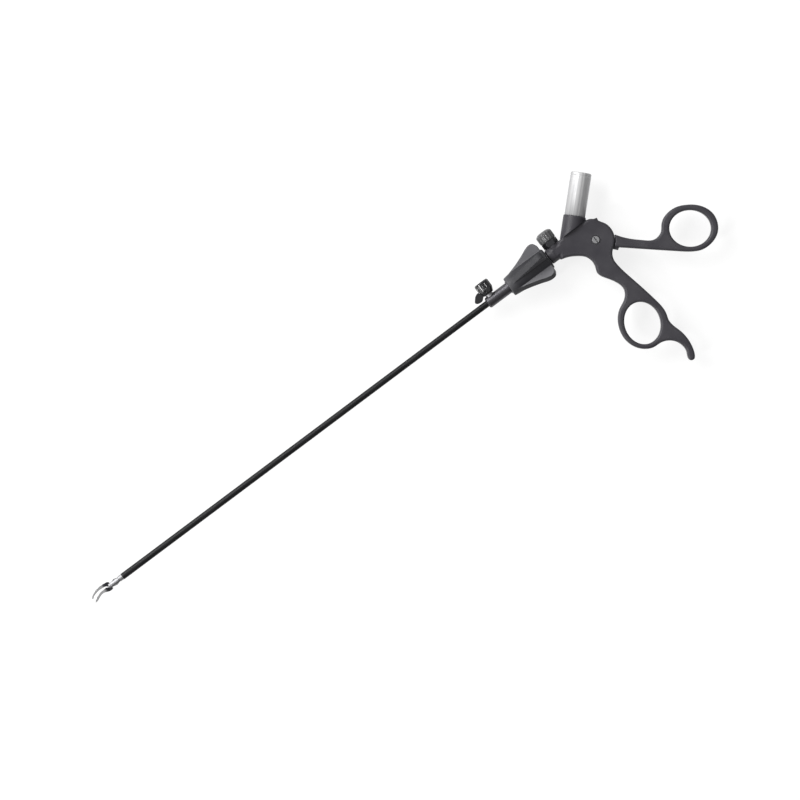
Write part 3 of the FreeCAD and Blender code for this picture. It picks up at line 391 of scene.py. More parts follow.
@dataclass(frozen=True)
class Steel:
    """Bare steel, brushed one way or polished, and darker where its piece is painted so.

    Its depth is in metres.
    """

    name: str
    colour: Colour
    shade: Colour
    grain: Grain
    roughness: float = 0.26
    depth: float = 0.000012
    painted: bool = False
    metal: float = 1.0
    line_share: float = 0.3
    smoother: float = 0.05
    rougher: float = 0.09
    relief: float = 0.3

    def build(self) -> bpy.types.Material:
        """Makes the material."""
        board = ShaderBoard(self.name)
        board.shader.inputs["Metallic"].default_value = self.metal
        turn = Socket().turn if self.grain is Grain.ALONG_SOCKET else 0.0
        lines = board.noise(board.place(self.grain.value, turn), 1.0, detail=4.0)
        tone = board.spread(lines, 0.0, 1.0)
        # A painted piece's points darken it: mostly painted shade, and also a dark seam and a darker jaw
        # root.
        if self.painted:
            tone = board.plus(board.painted(SHADE), tone, self.line_share)
        board.tint(tone, self.colour, self.shade)
        board.roughen(lines, self.roughness, self.smoother, self.rougher)
        board.bump(lines, self.relief, self.depth)
        return board.material


@dataclass(frozen=True)
class SoftRubber:
    """Glossy soft plastic with a faint orange peel, whose depth is in metres."""

    name: str
    colour: Colour
    roughness: float = 0.18
    coat: float = 0.25
    peel: float = 420.0
    cloud: float = 120.0
    brighter: float = 1.6
    lift: float = 0.004
    smoother: float = 0.04
    rougher: float = 0.08
    coat_roughness: float = 0.12
    relief: float = 0.25
    depth: float = 0.00003

    def build(self) -> bpy.types.Material:
        """Makes the material."""
        board = ShaderBoard(self.name)
        place = board.place()
        peel = board.noise(place, self.peel, detail=2.0)
        lighter = tuple(min(1.0, part * self.brighter + self.lift) for part in self.colour)
        board.tint(board.spread(board.noise(place, self.cloud), 0.0, 1.0), self.colour, lighter)
        board.roughen(peel, self.roughness, self.smoother, self.rougher)
        board.coat(self.coat, self.coat_roughness)
        board.bump(peel, self.relief, self.depth)
        return board.material


Finish = MouldedPlastic | Steel | SoftRubber


@dataclass(frozen=True)
class Palette:
    """Every finish of the instrument by the record's slot name."""

    handle: MouldedPlastic = MouldedPlastic("handle plastic", (0.040, 0.038, 0.045), (0.054, 0.052, 0.059),
                                            parting=0.00012, shine=0.3)
    # The wheel's second colour is the dark of its painted shade.
    wheel: MouldedPlastic = MouldedPlastic("wheel plastic", (0.130, 0.129, 0.138), (0.026, 0.026, 0.030),
                                           roughness=0.5, shine=0.35, painted=True)
    knob: MouldedPlastic = MouldedPlastic("knob plastic", (0.085, 0.085, 0.087), (0.060, 0.060, 0.062),
                                          roughness=0.34, coat=0.3)
    sleeve: MouldedPlastic = MouldedPlastic("sleeve film", (0.008, 0.008, 0.009), (0.013, 0.013, 0.014),
                                            roughness=0.4, grain=5200.0, depth=0.000015, shine=0.2)
    washer: MouldedPlastic = MouldedPlastic("washer plastic", (0.52, 0.52, 0.50), (0.58, 0.58, 0.56),
                                            roughness=0.4)
    insulator: MouldedPlastic = MouldedPlastic("insulator", (0.72, 0.71, 0.67), (0.78, 0.77, 0.73),
                                               roughness=0.35)
    # Its dark colour is what the end piece's seam, its painted shade and the screw's painted slot shade
    # reach.
    steel: Steel = Steel("turned steel", (0.40, 0.40, 0.41), (0.10, 0.10, 0.105), Grain.ROUND_SHAFT,
                         roughness=0.5, painted=True)
    # Its dark colour is what the jaws' painted root and painted shade reach.
    jaw: Steel = Steel("jaw steel", (0.56, 0.56, 0.565), (0.040, 0.040, 0.045), Grain.ALONG_SHAFT,
                       roughness=0.34, painted=True)
    grey: Steel = Steel("grey steel", (0.115, 0.113, 0.122), (0.075, 0.074, 0.080), Grain.ROUND_SHAFT,
                        roughness=0.42)
    dark: Steel = Steel("blackened steel", (0.085, 0.085, 0.090), (0.050, 0.050, 0.055), Grain.ROUND_SHAFT,
                        roughness=0.4)
    socket: Steel = Steel("socket steel", (0.71, 0.71, 0.71), (0.45, 0.45, 0.46), Grain.ALONG_SOCKET,
                          roughness=0.5, metal=0.45)
    brass: Steel = Steel("contact brass", (0.78, 0.58, 0.28), (0.70, 0.50, 0.24), Grain.POLISHED,
                         roughness=0.2)
    cap: SoftRubber = SoftRubber("cap rubber", (0.010, 0.010, 0.011))
    seal: SoftRubber = SoftRubber("seal rubber", (0.02, 0.02, 0.02), roughness=0.4, coat=0.0)

    def by_slot(self) -> dict[str, Finish]:
        """The finish for each of the record's slots."""
        return {
            "black_sleeve": self.sleeve,
            "steel": self.steel,
            "jaw_steel": self.jaw,
            "grey_steel": self.grey,
            "dark_steel": self.dark,
            "handle_plastic": self.handle,
            "wheel_plastic": self.wheel,
            "cap_rubber": self.cap,
            "knob_plastic": self.knob,
            "connector_steel": self.socket,
            "white_insulator": self.insulator,
            "brass_pin": self.brass,
            "seal_rubber": self.seal,
            "washer_plastic": self.washer,
        }


@dataclass
class Wardrobe:
    """Builds each finish once and puts it on objects."""

    palette: Palette = field(default_factory=Palette)
    made: dict[str, bpy.types.Material] = field(default_factory=dict)

    def material(self, slot: str) -> bpy.types.Material:
        """The material of a slot.

        Args:
            slot: one of the record's slots.

        Returns:
            The material, made at the first call.
        """
        if slot not in self.made:
            self.made[slot] = self.palette.by_slot()[slot].build()
        return self.made[slot]

    def dress(self, thing: bpy.types.Object, slot: str) -> None:
        """Puts a slot's material on an object."""
        thing.data.materials.clear()
        thing.data.materials.append(self.material(slot))

    def dress_frame(self, frame: Frame) -> None:
        """Dresses every carried-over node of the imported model.
        """
        subparts = frame["record"]["subparts"]
        slots = {entry["node"]: entry.get("material_slot", entry["node"]) for entry in subparts}
        for name, thing in frame["nodes"].items():
            self.dress(thing, slots[name])


# Shape tools


def clamped(value: float) -> float:
    """Holds a value between 0 and 1."""
    return min(1.0, max(0.0, value))


def settle(piece: bpy.types.Object) -> None:
    """Turns a piece's modifiers into its plain mesh.

    Args:
        piece: the object whose modifiers are applied.
    """
    graph = bpy.context.evaluated_depsgraph_get()
    graph.update()
    result = bpy.data.meshes.new_from_object(piece.evaluated_get(graph), depsgraph=graph)
    piece.modifiers.clear()
    piece.data = result


def paint(piece: bpy.types.Object, shade: Callable[[Vector, Vector], float]) -> None:
    """Paints a value from 0 to 1 on each point of a piece, for its finish to read.

    Args:
        piece: the object.
        shade: gives the value from a point's place and outward direction.
    """
    mesh = piece.data
    layer = mesh.attributes.new(SHADE, "FLOAT", "POINT")
    for index, point in enumerate(mesh.vertices):
        layer.data[index].value = clamped(shade(point.co, point.normal))


def new_piece(name: str, mesh: bpy.types.Mesh) -> bpy.types.Object:
    """Adds an object with a mesh to the scene.

    Args:
        name: the object's name.
        mesh: its mesh.

    Returns:
        The object.
    """
    piece = bpy.data.objects.new(name, mesh)
    bpy.context.scene.collection.objects.link(piece)
    return piece


def finish_piece(piece: bpy.types.Object, body: str, slot: str, wardrobe: Wardrobe, *nodes: str) -> None:
    """Dresses a piece, lets it ride and hides the nodes that it stands for.

    Args:
        piece: the new piece.
        body: the body that carries it.
        slot: the record's slot.
        wardrobe: the finishes.
        *nodes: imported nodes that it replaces.
    """
    for face in piece.data.polygons:
        face.use_smooth = True
    wardrobe.dress(piece, slot)
    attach(piece, body)
    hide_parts(*nodes)
    LOG.info("%s: %d faces", piece.name, len(piece.data.polygons))


def fuse(piece: bpy.types.Object, voxel: float, rounds: int) -> None:
    """Melts overlapping shells into one skin and rounds its edges a little.

    Args:
        piece: the object with the shells.
        voxel: the skin's mesh width.
        rounds: how often it is smoothed.
    """
    skin = piece.modifiers.new("skin", "REMESH")
    skin.mode = "VOXEL"
    skin.voxel_size = voxel
    smooth = piece.modifiers.new("round", "SMOOTH")
    smooth.factor = 0.5
    smooth.iterations = rounds
    settle(piece)


@dataclass(frozen=True)
class MouldedCopy:
    """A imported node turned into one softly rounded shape."""

    node: str
    body: str
    slot: str
    voxel: float
    rounds: int

    def build(self, frame: Frame, wardrobe: Wardrobe) -> bpy.types.Object:
        """Makes the piece and hides the node that it stands for.

        Args:
            wardrobe: the finishes.

        Returns:
            The new piece.
        """
        shape = bmesh.new()
        shape.from_mesh(frame["nodes"][self.node].data)
        bmesh.ops.remove_doubles(shape, verts=shape.verts, dist=WELD)
        mesh = bpy.data.meshes.new(self.node + "_moulded")
        shape.to_mesh(mesh)
        shape.free()
        piece = new_piece(self.node + "_moulded", mesh)
        fuse(piece, self.voxel, self.rounds)
        finish_piece(piece, self.body, self.slot, wardrobe, self.node)
        return piece


@dataclass(frozen=True)
class Turning:
    """A turned outline about the X axis.

    Its corners are those of a closed section, each with its place along, radius and rounding in millimetres.
    """

    corners: tuple[tuple[float, float, float], ...]
    segments: int = 96
    arc_steps: int = 5

    def outline(self) -> list[Vector]:
        """The section with its corners rounded.

        Returns:
            Points with the length along X and the radius as Y.
        """
        spots = [Vector((along, radius)) for along, radius, _ in self.corners]
        points: list[Vector] = []
        for index, spot in enumerate(spots):
            reach = self.corners[index][2]
            if reach <= 0.0:
                points.append(spot)
                continue
            back = spots[index - 1] - spot
            ahead = spots[(index + 1) % len(spots)] - spot
            start = spot + back.normalized() * min(reach, back.length / 2)
            end = spot + ahead.normalized() * min(reach, ahead.length / 2)
            for step in range(self.arc_steps + 1):
                share = step / self.arc_steps
                points.append(start.lerp(spot, share).lerp(spot.lerp(end, share), share))
        return points

    def add_to(self, shape: bmesh.types.BMesh) -> None:
        """Spins the outline into a shape.

        Args:
            shape: where the faces go.
        """
        points = self.outline()
        rings = []
        for point in points:
            if point.y < ON_AXIS:
                rings.append([shape.verts.new((point.x * MM, 0.0, 0.0))])
                continue
            ring = []
            for step in range(self.segments):
                angle = 2.0 * math.pi * step / self.segments
                ring.append(shape.verts.new((point.x * MM, point.y * math.cos(angle) * MM,
                                             point.y * math.sin(angle) * MM)))
            rings.append(ring)
        for first, second in zip(rings, rings[1:] + rings[:1]):
            self._band(shape, first, second)

    def _band(self, shape: bmesh.types.BMesh, first: list[bmesh.types.BMVert],
              second: list[bmesh.types.BMVert]) -> None:
        """Joins two rings, either of which may be a pole.

        Args:
            shape: where the faces go.
            first: vertices of one ring.
            second: vertices of the next.
        """
        if len(first) == 1 and len(second) == 1:
            return
        for step in range(self.segments):
            after = (step + 1) % self.segments
            corners = [first[step % len(first)], second[step % len(second)],
                       second[after % len(second)], first[after % len(first)]]
            shape.faces.new(list(dict.fromkeys(corners)))


def mesh_of(name: str, shape: bmesh.types.BMesh, place: Matrix | None = None) -> bpy.types.Mesh:
    """Turns a shape into a mesh with outward faces.

    Args:
        name: the mesh's name.
        shape: the shape, which is freed.
        place: the matrix that takes it to its place, if it is not there yet.

    Returns:
        The mesh.
    """
    bmesh.ops.remove_doubles(shape, verts=shape.verts, dist=SAME_PLACE)
    bmesh.ops.recalc_face_normals(shape, faces=shape.faces)
    mesh = bpy.data.meshes.new(name)
    shape.to_mesh(mesh)
    shape.free()
    if place is not None:
        mesh.transform(place)
    return mesh


def smooth_curve(stops: list[Vector], steps: int) -> list[Vector]:
    """A curve through every stop.

    Args:
        stops: the points that it passes.
        steps: how many points it has from one stop to the next.

    Returns:
        The curve's points, both ends included.
    """
    points = []
    for index in range(len(stops) - 1):
        before = stops[max(index - 1, 0)]
        here = stops[index]
        there = stops[index + 1]
        beyond = stops[min(index + 2, len(stops) - 1)]
        for step in range(steps):
            t = step / steps
            points.append(0.5 * ((2 * here) + (there - before) * t
                                 + (2 * before - 5 * here + 4 * there - beyond) * t ** 2
                                 + (3 * here - before - 3 * there + beyond) * t ** 3))
    points.append(stops[-1])
    return points


@dataclass(frozen=True)
class RoundRow:
    """Copies of one rib or fin all round the X axis, made by a node tree."""

    name: str
    count: int
    first_turn: float = 0.0

    def tree(self, material: bpy.types.Material) -> bpy.types.NodeTree:
        """Builds the node tree.

        Args:
            material: what the copies wear.

        Returns:
            The tree, with the inputs Count and First Turn.
        """
        group = bpy.data.node_groups.new(self.name, "GeometryNodeTree")
        face = group.interface
        face.new_socket("Geometry", in_out="INPUT", socket_type="NodeSocketGeometry")
        face.new_socket("Count", in_out="INPUT", socket_type="NodeSocketInt")
        face.new_socket("First Turn", in_out="INPUT", socket_type="NodeSocketFloat")
        face.new_socket("Geometry", in_out="OUTPUT", socket_type="NodeSocketGeometry")
        nodes = group.nodes
        start = nodes.new("NodeGroupInput")
        end = nodes.new("NodeGroupOutput")
        line = nodes.new("GeometryNodeMeshLine")
        line.inputs["Offset"].default_value = (0.0, 0.0, 0.0)
        index = nodes.new("GeometryNodeInputIndex")
        share = math_node(group, "DIVIDE")
        angle = math_node(group, "MULTIPLY_ADD")
        angle.inputs[1].default_value = 2.0 * math.pi
        turn = nodes.new("ShaderNodeCombineXYZ")
        copies = nodes.new("GeometryNodeInstanceOnPoints")
        real = nodes.new("GeometryNodeRealizeInstances")
        dress = nodes.new("GeometryNodeSetMaterial")
        dress.inputs["Material"].default_value = material
        links = group.links
        links.new(start.outputs["Count"], line.inputs["Count"])
        links.new(index.outputs[0], share.inputs[0])
        links.new(start.outputs["Count"], share.inputs[1])
        links.new(share.outputs[0], angle.inputs[0])
        links.new(start.outputs["First Turn"], angle.inputs[2])
        links.new(angle.outputs[0], turn.inputs["X"])
        links.new(line.outputs["Mesh"], copies.inputs["Points"])
        links.new(start.outputs["Geometry"], copies.inputs["Instance"])
        links.new(turn.outputs["Vector"], copies.inputs["Rotation"])
        links.new(copies.outputs["Instances"], real.inputs["Geometry"])
        links.new(real.outputs["Geometry"], dress.inputs["Geometry"])
        links.new(dress.outputs["Geometry"], end.inputs["Geometry"])
        return group

    def spread(self, rib: bpy.types.Mesh, material: bpy.types.Material) -> bpy.types.Mesh:
        """Runs the tree on one rib.

        Args:
            rib: the first copy's mesh.
            material: what the copies wear.

        Returns:
            One plain mesh with every copy.
        """
        carrier = new_piece(self.name, rib)
        group = self.tree(material)
        row = carrier.modifiers.new("row", "NODES")
        row.node_group = group
        wanted = {"Count": self.count, "First Turn": self.first_turn}
        for item in group.interface.items_tree:
            if item.item_type == "SOCKET" and item.in_out == "INPUT" and item.name in wanted:
                row[item.identifier] = wanted[item.name]
        settle(carrier)
        mesh = carrier.data
        bpy.data.objects.remove(carrier)
        return mesh


# Pieces of the instrument, with sizes in millimetres and voxels in metres


@dataclass(frozen=True)
class FinnedWheel:
    """The rotation wheel: a turned hub with flat-sided fins that rise towards the handle."""

    front: float = 19.6
    rear: float = 55.0
    nose_radius: float = 7.4
    hub_radius: float = 8.3
    tube_radius: float = 2.15
    spigot_radius: float = 3.5
    spigot_from: float = 29.0
    crest: float = 16.0
    fin_thickness: float = 4.8
    fin_edge: float = 0.5
    edge_segments: int = 3
    fin_count: int = 5
    curve_steps: int = 8
    dark_from: float = 0.45
    dark_over: float = 0.35
    nose_from: float = 1.0
    nose_over: float = 8.0
    nose_dark: float = 0.45
    voxel: float = 0.28 * MM
    rounds: int = 3

    def hub(self) -> Turning:
        """The turned core with its bore."""
        return Turning((
            (self.front, self.tube_radius, 0.0),
            (self.front, self.nose_radius, 0.8),
            (self.front + 7.0, self.hub_radius, 3.0),
            (self.rear, self.hub_radius, 1.2),
            (self.rear, self.spigot_radius, 0.0),
            (self.spigot_from, self.spigot_radius, 0.0),
            (self.spigot_from, self.tube_radius, 0.0),
        ))

    def rise(self) -> list[Vector]:
        """The fin's side outline, with the length along X and the radius as Y."""
        front = self.front
        rear = self.rear
        crest = self.crest
        under = self.hub_radius - 1.6
        stops = [
            (front + 2.4, self.nose_radius - 0.1),
            (front + 12.4, crest - 5.9),
            (front + 20.8, crest - 2.9),
            (front + 26.0, crest - 0.7),
            (front + 29.4, crest),
            (front + 32.2, crest - 0.9),
            (rear - 1.4, crest - 4.0),
        ]
        slope = smooth_curve([Vector(stop) for stop in stops], self.curve_steps)
        return [Vector((front + 1.6, under)), *slope, Vector((rear - 1.3, under))]

    def shade(self, place: Vector, outward: Vector) -> float:
        """How dark a point is, as painted shade: the fins' crests and the hub's valleys, which face outward,
        are darker than the flanks.

        Args:
            place: the point.
            outward: its outward direction.

        Returns:
            From 0, a pale flank, to 1, a dark crest.
        """
        away = Vector((0.0, place.y, place.z))
        # Painted shade: faces that turn outward from the axis are darker.
        radial = outward.dot(away.normalized())
        dark = clamped((radial - self.dark_from) / self.dark_over)
        nose = clamped((place.x / MM - self.front - self.nose_from) / self.nose_over)
        return dark * (self.nose_dark + (1.0 - self.nose_dark) * nose)

    def fin(self) -> bpy.types.Mesh:
        """One fin on the +Y side, its outer edges softened."""
        shape = bmesh.new()
        half = self.fin_thickness / 2
        sides = []
        for height in (-half, half):
            sides.append([shape.verts.new((p.x * MM, p.y * MM, height * MM)) for p in self.rise()])
        shape.faces.new(sides[0])
        shape.faces.new(list(reversed(sides[1])))
        for index in range(len(sides[0])):
            after = (index + 1) % len(sides[0])
            shape.faces.new((sides[0][index], sides[1][index], sides[1][after], sides[0][after]))
        bmesh.ops.recalc_face_normals(shape, faces=shape.faces)
        rims = [edge for edge in shape.edges
                if abs(edge.verts[0].co.z - edge.verts[1].co.z) < SAME_PLACE]
        bmesh.ops.bevel(shape, geom=rims, offset=self.fin_edge * MM, segments=self.edge_segments,
                        profile=0.5, affect="EDGES", clamp_overlap=True)
        return mesh_of("fin", shape)

    def build(self, wardrobe: Wardrobe) -> bpy.types.Object:
        """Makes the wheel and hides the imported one.

        Args:
            wardrobe: the finishes.

        Returns:
            The wheel.
        """
        fins = RoundRow("wheel_fins", self.fin_count).spread(self.fin(), wardrobe.material("wheel_plastic"))
        shape = bmesh.new()
        shape.from_mesh(fins)
        self.hub().add_to(shape)
        wheel = new_piece("finned_wheel", mesh_of("finned_wheel", shape))
        fuse(wheel, self.voxel, self.rounds)
        # Painted shade on the crests and the hub's valleys.
        paint(wheel, self.shade)
        finish_piece(wheel, "barrel", "wheel_plastic", wardrobe, "rotation_wheel")
        return wheel


@dataclass(frozen=True)
class RibbedKnob:
    """The lock knob: a domed core with round ribs, on its stud above the collar."""

    along: float = 62.4
    foot: float = 9.75
    shoulder: float = 16.4
    top: float = 17.9
    radius: float = 6.35
    core_radius: float = 6.05
    stud_radius: float = 2.0
    bore_end: float = 14.4
    rib_radius: float = 0.55
    rib_count: int = 18
    rib_sides: int = 10
    voxel: float = 0.13 * MM
    rounds: int = 2

    def place(self) -> Matrix:
        """Takes the X axis to the knob's axis, which runs along Y."""
        return Matrix.Translation((self.along * MM, 0.0, 0.0)) @ Matrix.Rotation(math.pi / 2, 4, "Z")

    def rib(self) -> bpy.types.Mesh:
        """One rib with tapered ends, on the +Y side of the X axis."""
        shape = bmesh.new()
        axis = self.radius - self.rib_radius
        stops = ((self.foot + 0.2, 0.3), (self.foot + 0.7, 0.85), (self.foot + 1.3, 1.0),
                 (self.shoulder - 0.9, 1.0), (self.shoulder - 0.3, 0.8), (self.shoulder + 0.1, 0.25))
        rings = []
        for stop, share in stops:
            ring = []
            for step in range(self.rib_sides):
                angle = 2.0 * math.pi * step / self.rib_sides
                ring.append(shape.verts.new((stop * MM,
                                             (axis + self.rib_radius * share * math.cos(angle)) * MM,
                                             self.rib_radius * share * math.sin(angle) * MM)))
            rings.append(ring)
        for first, second in zip(rings, rings[1:]):
            for step in range(self.rib_sides):
                after = (step + 1) % self.rib_sides
                shape.faces.new((first[step], second[step], second[after], first[after]))
        shape.faces.new(rings[0])
        shape.faces.new(list(reversed(rings[-1])))
        return mesh_of("knob_rib", shape)

    def core(self) -> Turning:
        """The domed core with the stud's bore."""
        return Turning((
            (self.foot, self.stud_radius, 0.0),
            (self.foot, self.core_radius - 0.3, 0.4),
            (self.foot + 0.5, self.core_radius, 0.3),
            (self.shoulder, self.core_radius, 0.8),
            (self.top - 0.35, self.core_radius - 1.5, 1.4),
            (self.top, self.core_radius - 3.4, 0.8),
            (self.top, 0.0, 0.0),
            (self.bore_end, 0.0, 0.0),
            (self.bore_end, self.stud_radius, 0.0),
        ))

    def build(self, wardrobe: Wardrobe) -> bpy.types.Object:
        """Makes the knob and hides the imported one.

        Args:
            wardrobe: the finishes.

        Returns:
            The knob.
        """
        ribs = RoundRow("knob_ribs", self.rib_count).spread(self.rib(), wardrobe.material("knob_plastic"))
        shape = bmesh.new()
        shape.from_mesh(ribs)
        self.core().add_to(shape)
        knob = new_piece("ribbed_knob", mesh_of("ribbed_knob", shape, self.place()))
        fuse(knob, self.voxel, self.rounds)
        finish_piece(knob, "lock", "knob_plastic", wardrobe, "lock_knob")
        return knob


@dataclass(frozen=True)
class CableSocket:
    """The metal shroud of the cable socket: a tube with a rolled lip, sunk in the handle."""

    axis: Socket = Socket()
    sunk: float = 5.0
    length: float = 31.8
    radius: float = 7.6
    bore: float = 6.4
    lip: float = 2.6
    groove: float = 0.22
    segments: int = 128

    def build(self, wardrobe: Wardrobe) -> bpy.types.Object:
        """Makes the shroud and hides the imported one.

        Args:
            wardrobe: the finishes.

        Returns:
            The shroud.
        """
        groove_at = self.length - self.lip
        shape = bmesh.new()
        Turning((
            (-self.sunk, self.bore, 0.0),
            (-self.sunk, self.radius, 0.0),
            (groove_at - 0.5, self.radius, 0.2),
            (groove_at, self.radius - self.groove, 0.2),
            (groove_at + 0.5, self.radius, 0.3),
            (self.length - 0.7, self.radius, 0.8),
            (self.length, self.radius - 0.6, 0.4),
            (self.length, self.bore + 0.25, 0.2),
            (self.length - 0.5, self.bore, 0.2),
        ), self.segments).add_to(shape)
        shroud = new_piece("socket_shroud", mesh_of("socket_shroud", shape, self.axis.place()))
        finish_piece(shroud, "handle", "connector_steel", wardrobe, "connector_shroud")
        return shroud


@dataclass(frozen=True)
class JawPair:
    """Both jaws, each a serrated, windowed blade whose root is painted darker, with painted shade on faces
    turned away from the key lamp.
    """

    voxel: float = 0.07 * MM
    rounds: int = 2
    dark_from: float = -347.0
    dark_to: float = -345.0
    dark_end: float = -341.6
    fade: float = 1.0
    dark_side: float = 0.25
    side_facing: float = -0.3
    root_shade: float = 0.9

    def shade(self, place: Vector, outward: Vector) -> float:
        """How dark a point of a jaw is: its painted darker root, plus painted shade on faces turned away
        from the key lamp.

        Args:
            place: the point.
            outward: its outward direction.

        Returns:
            From 0, bare steel, to 1, darkened.
        """
        along = place.x / MM
        rise = clamped((along - self.dark_from) / (self.dark_to - self.dark_from))
        fall = clamped((self.dark_end + self.fade - along) / self.fade)
        # Painted shade on faces turned towards -Y, away from the key lamp.
        under = self.dark_side if outward.y < self.side_facing else 0.0
        return self.root_shade * rise * fall + under

    def build(self, frame: Frame, wardrobe: Wardrobe) -> None:
        """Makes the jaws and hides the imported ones.

        Args:
            wardrobe: the finishes.
        """
        for side in ("upper", "lower"):
            copy = MouldedCopy(side + "_jaw", side + "_jaw_body", "jaw_steel", self.voxel, self.rounds)
            paint(copy.build(frame, wardrobe), self.shade)


@dataclass(frozen=True)
class ForkedEnd:
    """The forked end piece that holds the jaws, with a dark seam where it meets the tube, and painted shade
    inside its fork and on upward faces of its low side.
    """

    seam: float = -333.5
    seam_width: float = 0.45
    fork_from: float = -341.0
    fork_to: float = -334.6
    fork_half: float = 1.42
    seam_shade: float = 0.9
    fork_shade: float = 0.45
    low_side: float = -0.9
    voxel: float = 0.07 * MM
    rounds: int = 1

    def shade(self, place: Vector, outward: Vector) -> float:
        """How dark a point is: the seam, and painted shade in the fork and on the low side.

        Args:
            place: the point.
            outward: its outward direction.

        Returns:
            From 0, bare steel, to 1, darkened.
        """
        along = place.x / MM
        if self.seam - self.seam_width < along < self.seam:
            return self.seam_shade
        # Painted shade between the fork's prongs and on upward faces of the low side.
        in_fork = self.fork_from < along < self.fork_to and abs(place.z) / MM < self.fork_half
        low = place.y / MM < self.low_side and outward.z > 0.0
        return self.fork_shade if in_fork or low else 0.0

    def build(self, frame: Frame, wardrobe: Wardrobe) -> None:
        """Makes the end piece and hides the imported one.

        Args:
            wardrobe: the finishes.
        """
        copy = MouldedCopy("jaw_clevis", "barrel", "steel", self.voxel, self.rounds)
        paint(copy.build(frame, wardrobe), self.shade)


@dataclass(frozen=True)
class SlottedScrew:
    """The pivot screw, with painted shade in the slot of its head."""

    along: float = 90.24
    across: float = -10.1
    head_level: float = 6.1
    slot_from: float = 0.12
    slot_to: float = 1.5
    slot_reach: float = 2.75
    voxel: float = 0.07 * MM
    rounds: int = 1

    def shade(self, place: Vector, outward: Vector) -> float:
        """How dark a point is.

        Args:
            place: the point.
            outward: its outward direction, which is not used.

        Returns:
            1 in the slot, where shade is painted, else 0.
        """
        away = math.hypot(place.x / MM - self.along, place.y / MM - self.across)
        below = self.head_level - place.z / MM
        # Painted shade in the slot.
        return 1.0 if away < self.slot_reach and self.slot_from < below < self.slot_to else 0.0

    def build(self, frame: Frame, wardrobe: Wardrobe) -> None:
        """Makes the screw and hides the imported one.

        Args:
            wardrobe: the finishes.
        """
        copy = MouldedCopy("pivot_screw", "handle", "steel", self.voxel, self.rounds)
        paint(copy.build(frame, wardrobe), self.shade)


@dataclass(frozen=True)
class PortCap:
    """The glossy cap on the flush port, with a moulded ring on its side boss."""

    ring_along: float = 3.7
    ring_across: float = 7.9
    ring_level: float = 6.1
    ring_radius: float = 1.15
    ring_wire: float = 0.32
    ring_segments: int = 48
    wire_sides: int = 10
    voxel: float = 0.13 * MM
    rounds: int = 2

    def ring(self) -> bpy.types.Mesh:
        """The ring on the boss."""
        wire = self.ring_wire
        corners = []
        for step in range(self.wire_sides):
            angle = 2.0 * math.pi * step / self.wire_sides
            corners.append((wire * math.sin(angle), self.ring_radius + wire * math.cos(angle), 0.0))
        shape = bmesh.new()
        Turning(tuple(corners), self.ring_segments).add_to(shape)
        place = Matrix.Translation((self.ring_along * MM, self.ring_across * MM, self.ring_level * MM))
        return mesh_of("cap_ring", shape, place @ Matrix.Rotation(-math.pi / 2, 4, "Y"))

    def build(self, frame: Frame, wardrobe: Wardrobe) -> bpy.types.Object:
        """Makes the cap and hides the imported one.

        Args:
            wardrobe: the finishes.

        Returns:
            The cap.
        """
        shape = bmesh.new()
        shape.from_mesh(frame["nodes"]["port_cap"].data)
        shape.from_mesh(self.ring())
        bmesh.ops.remove_doubles(shape, verts=shape.verts, dist=WELD)
        cap = new_piece("moulded_cap", mesh_of("moulded_cap", shape))
        fuse(cap, self.voxel, self.rounds)
        finish_piece(cap, "cap", "cap_rubber", wardrobe, "port_cap")
        return cap


# Floor, light and camera


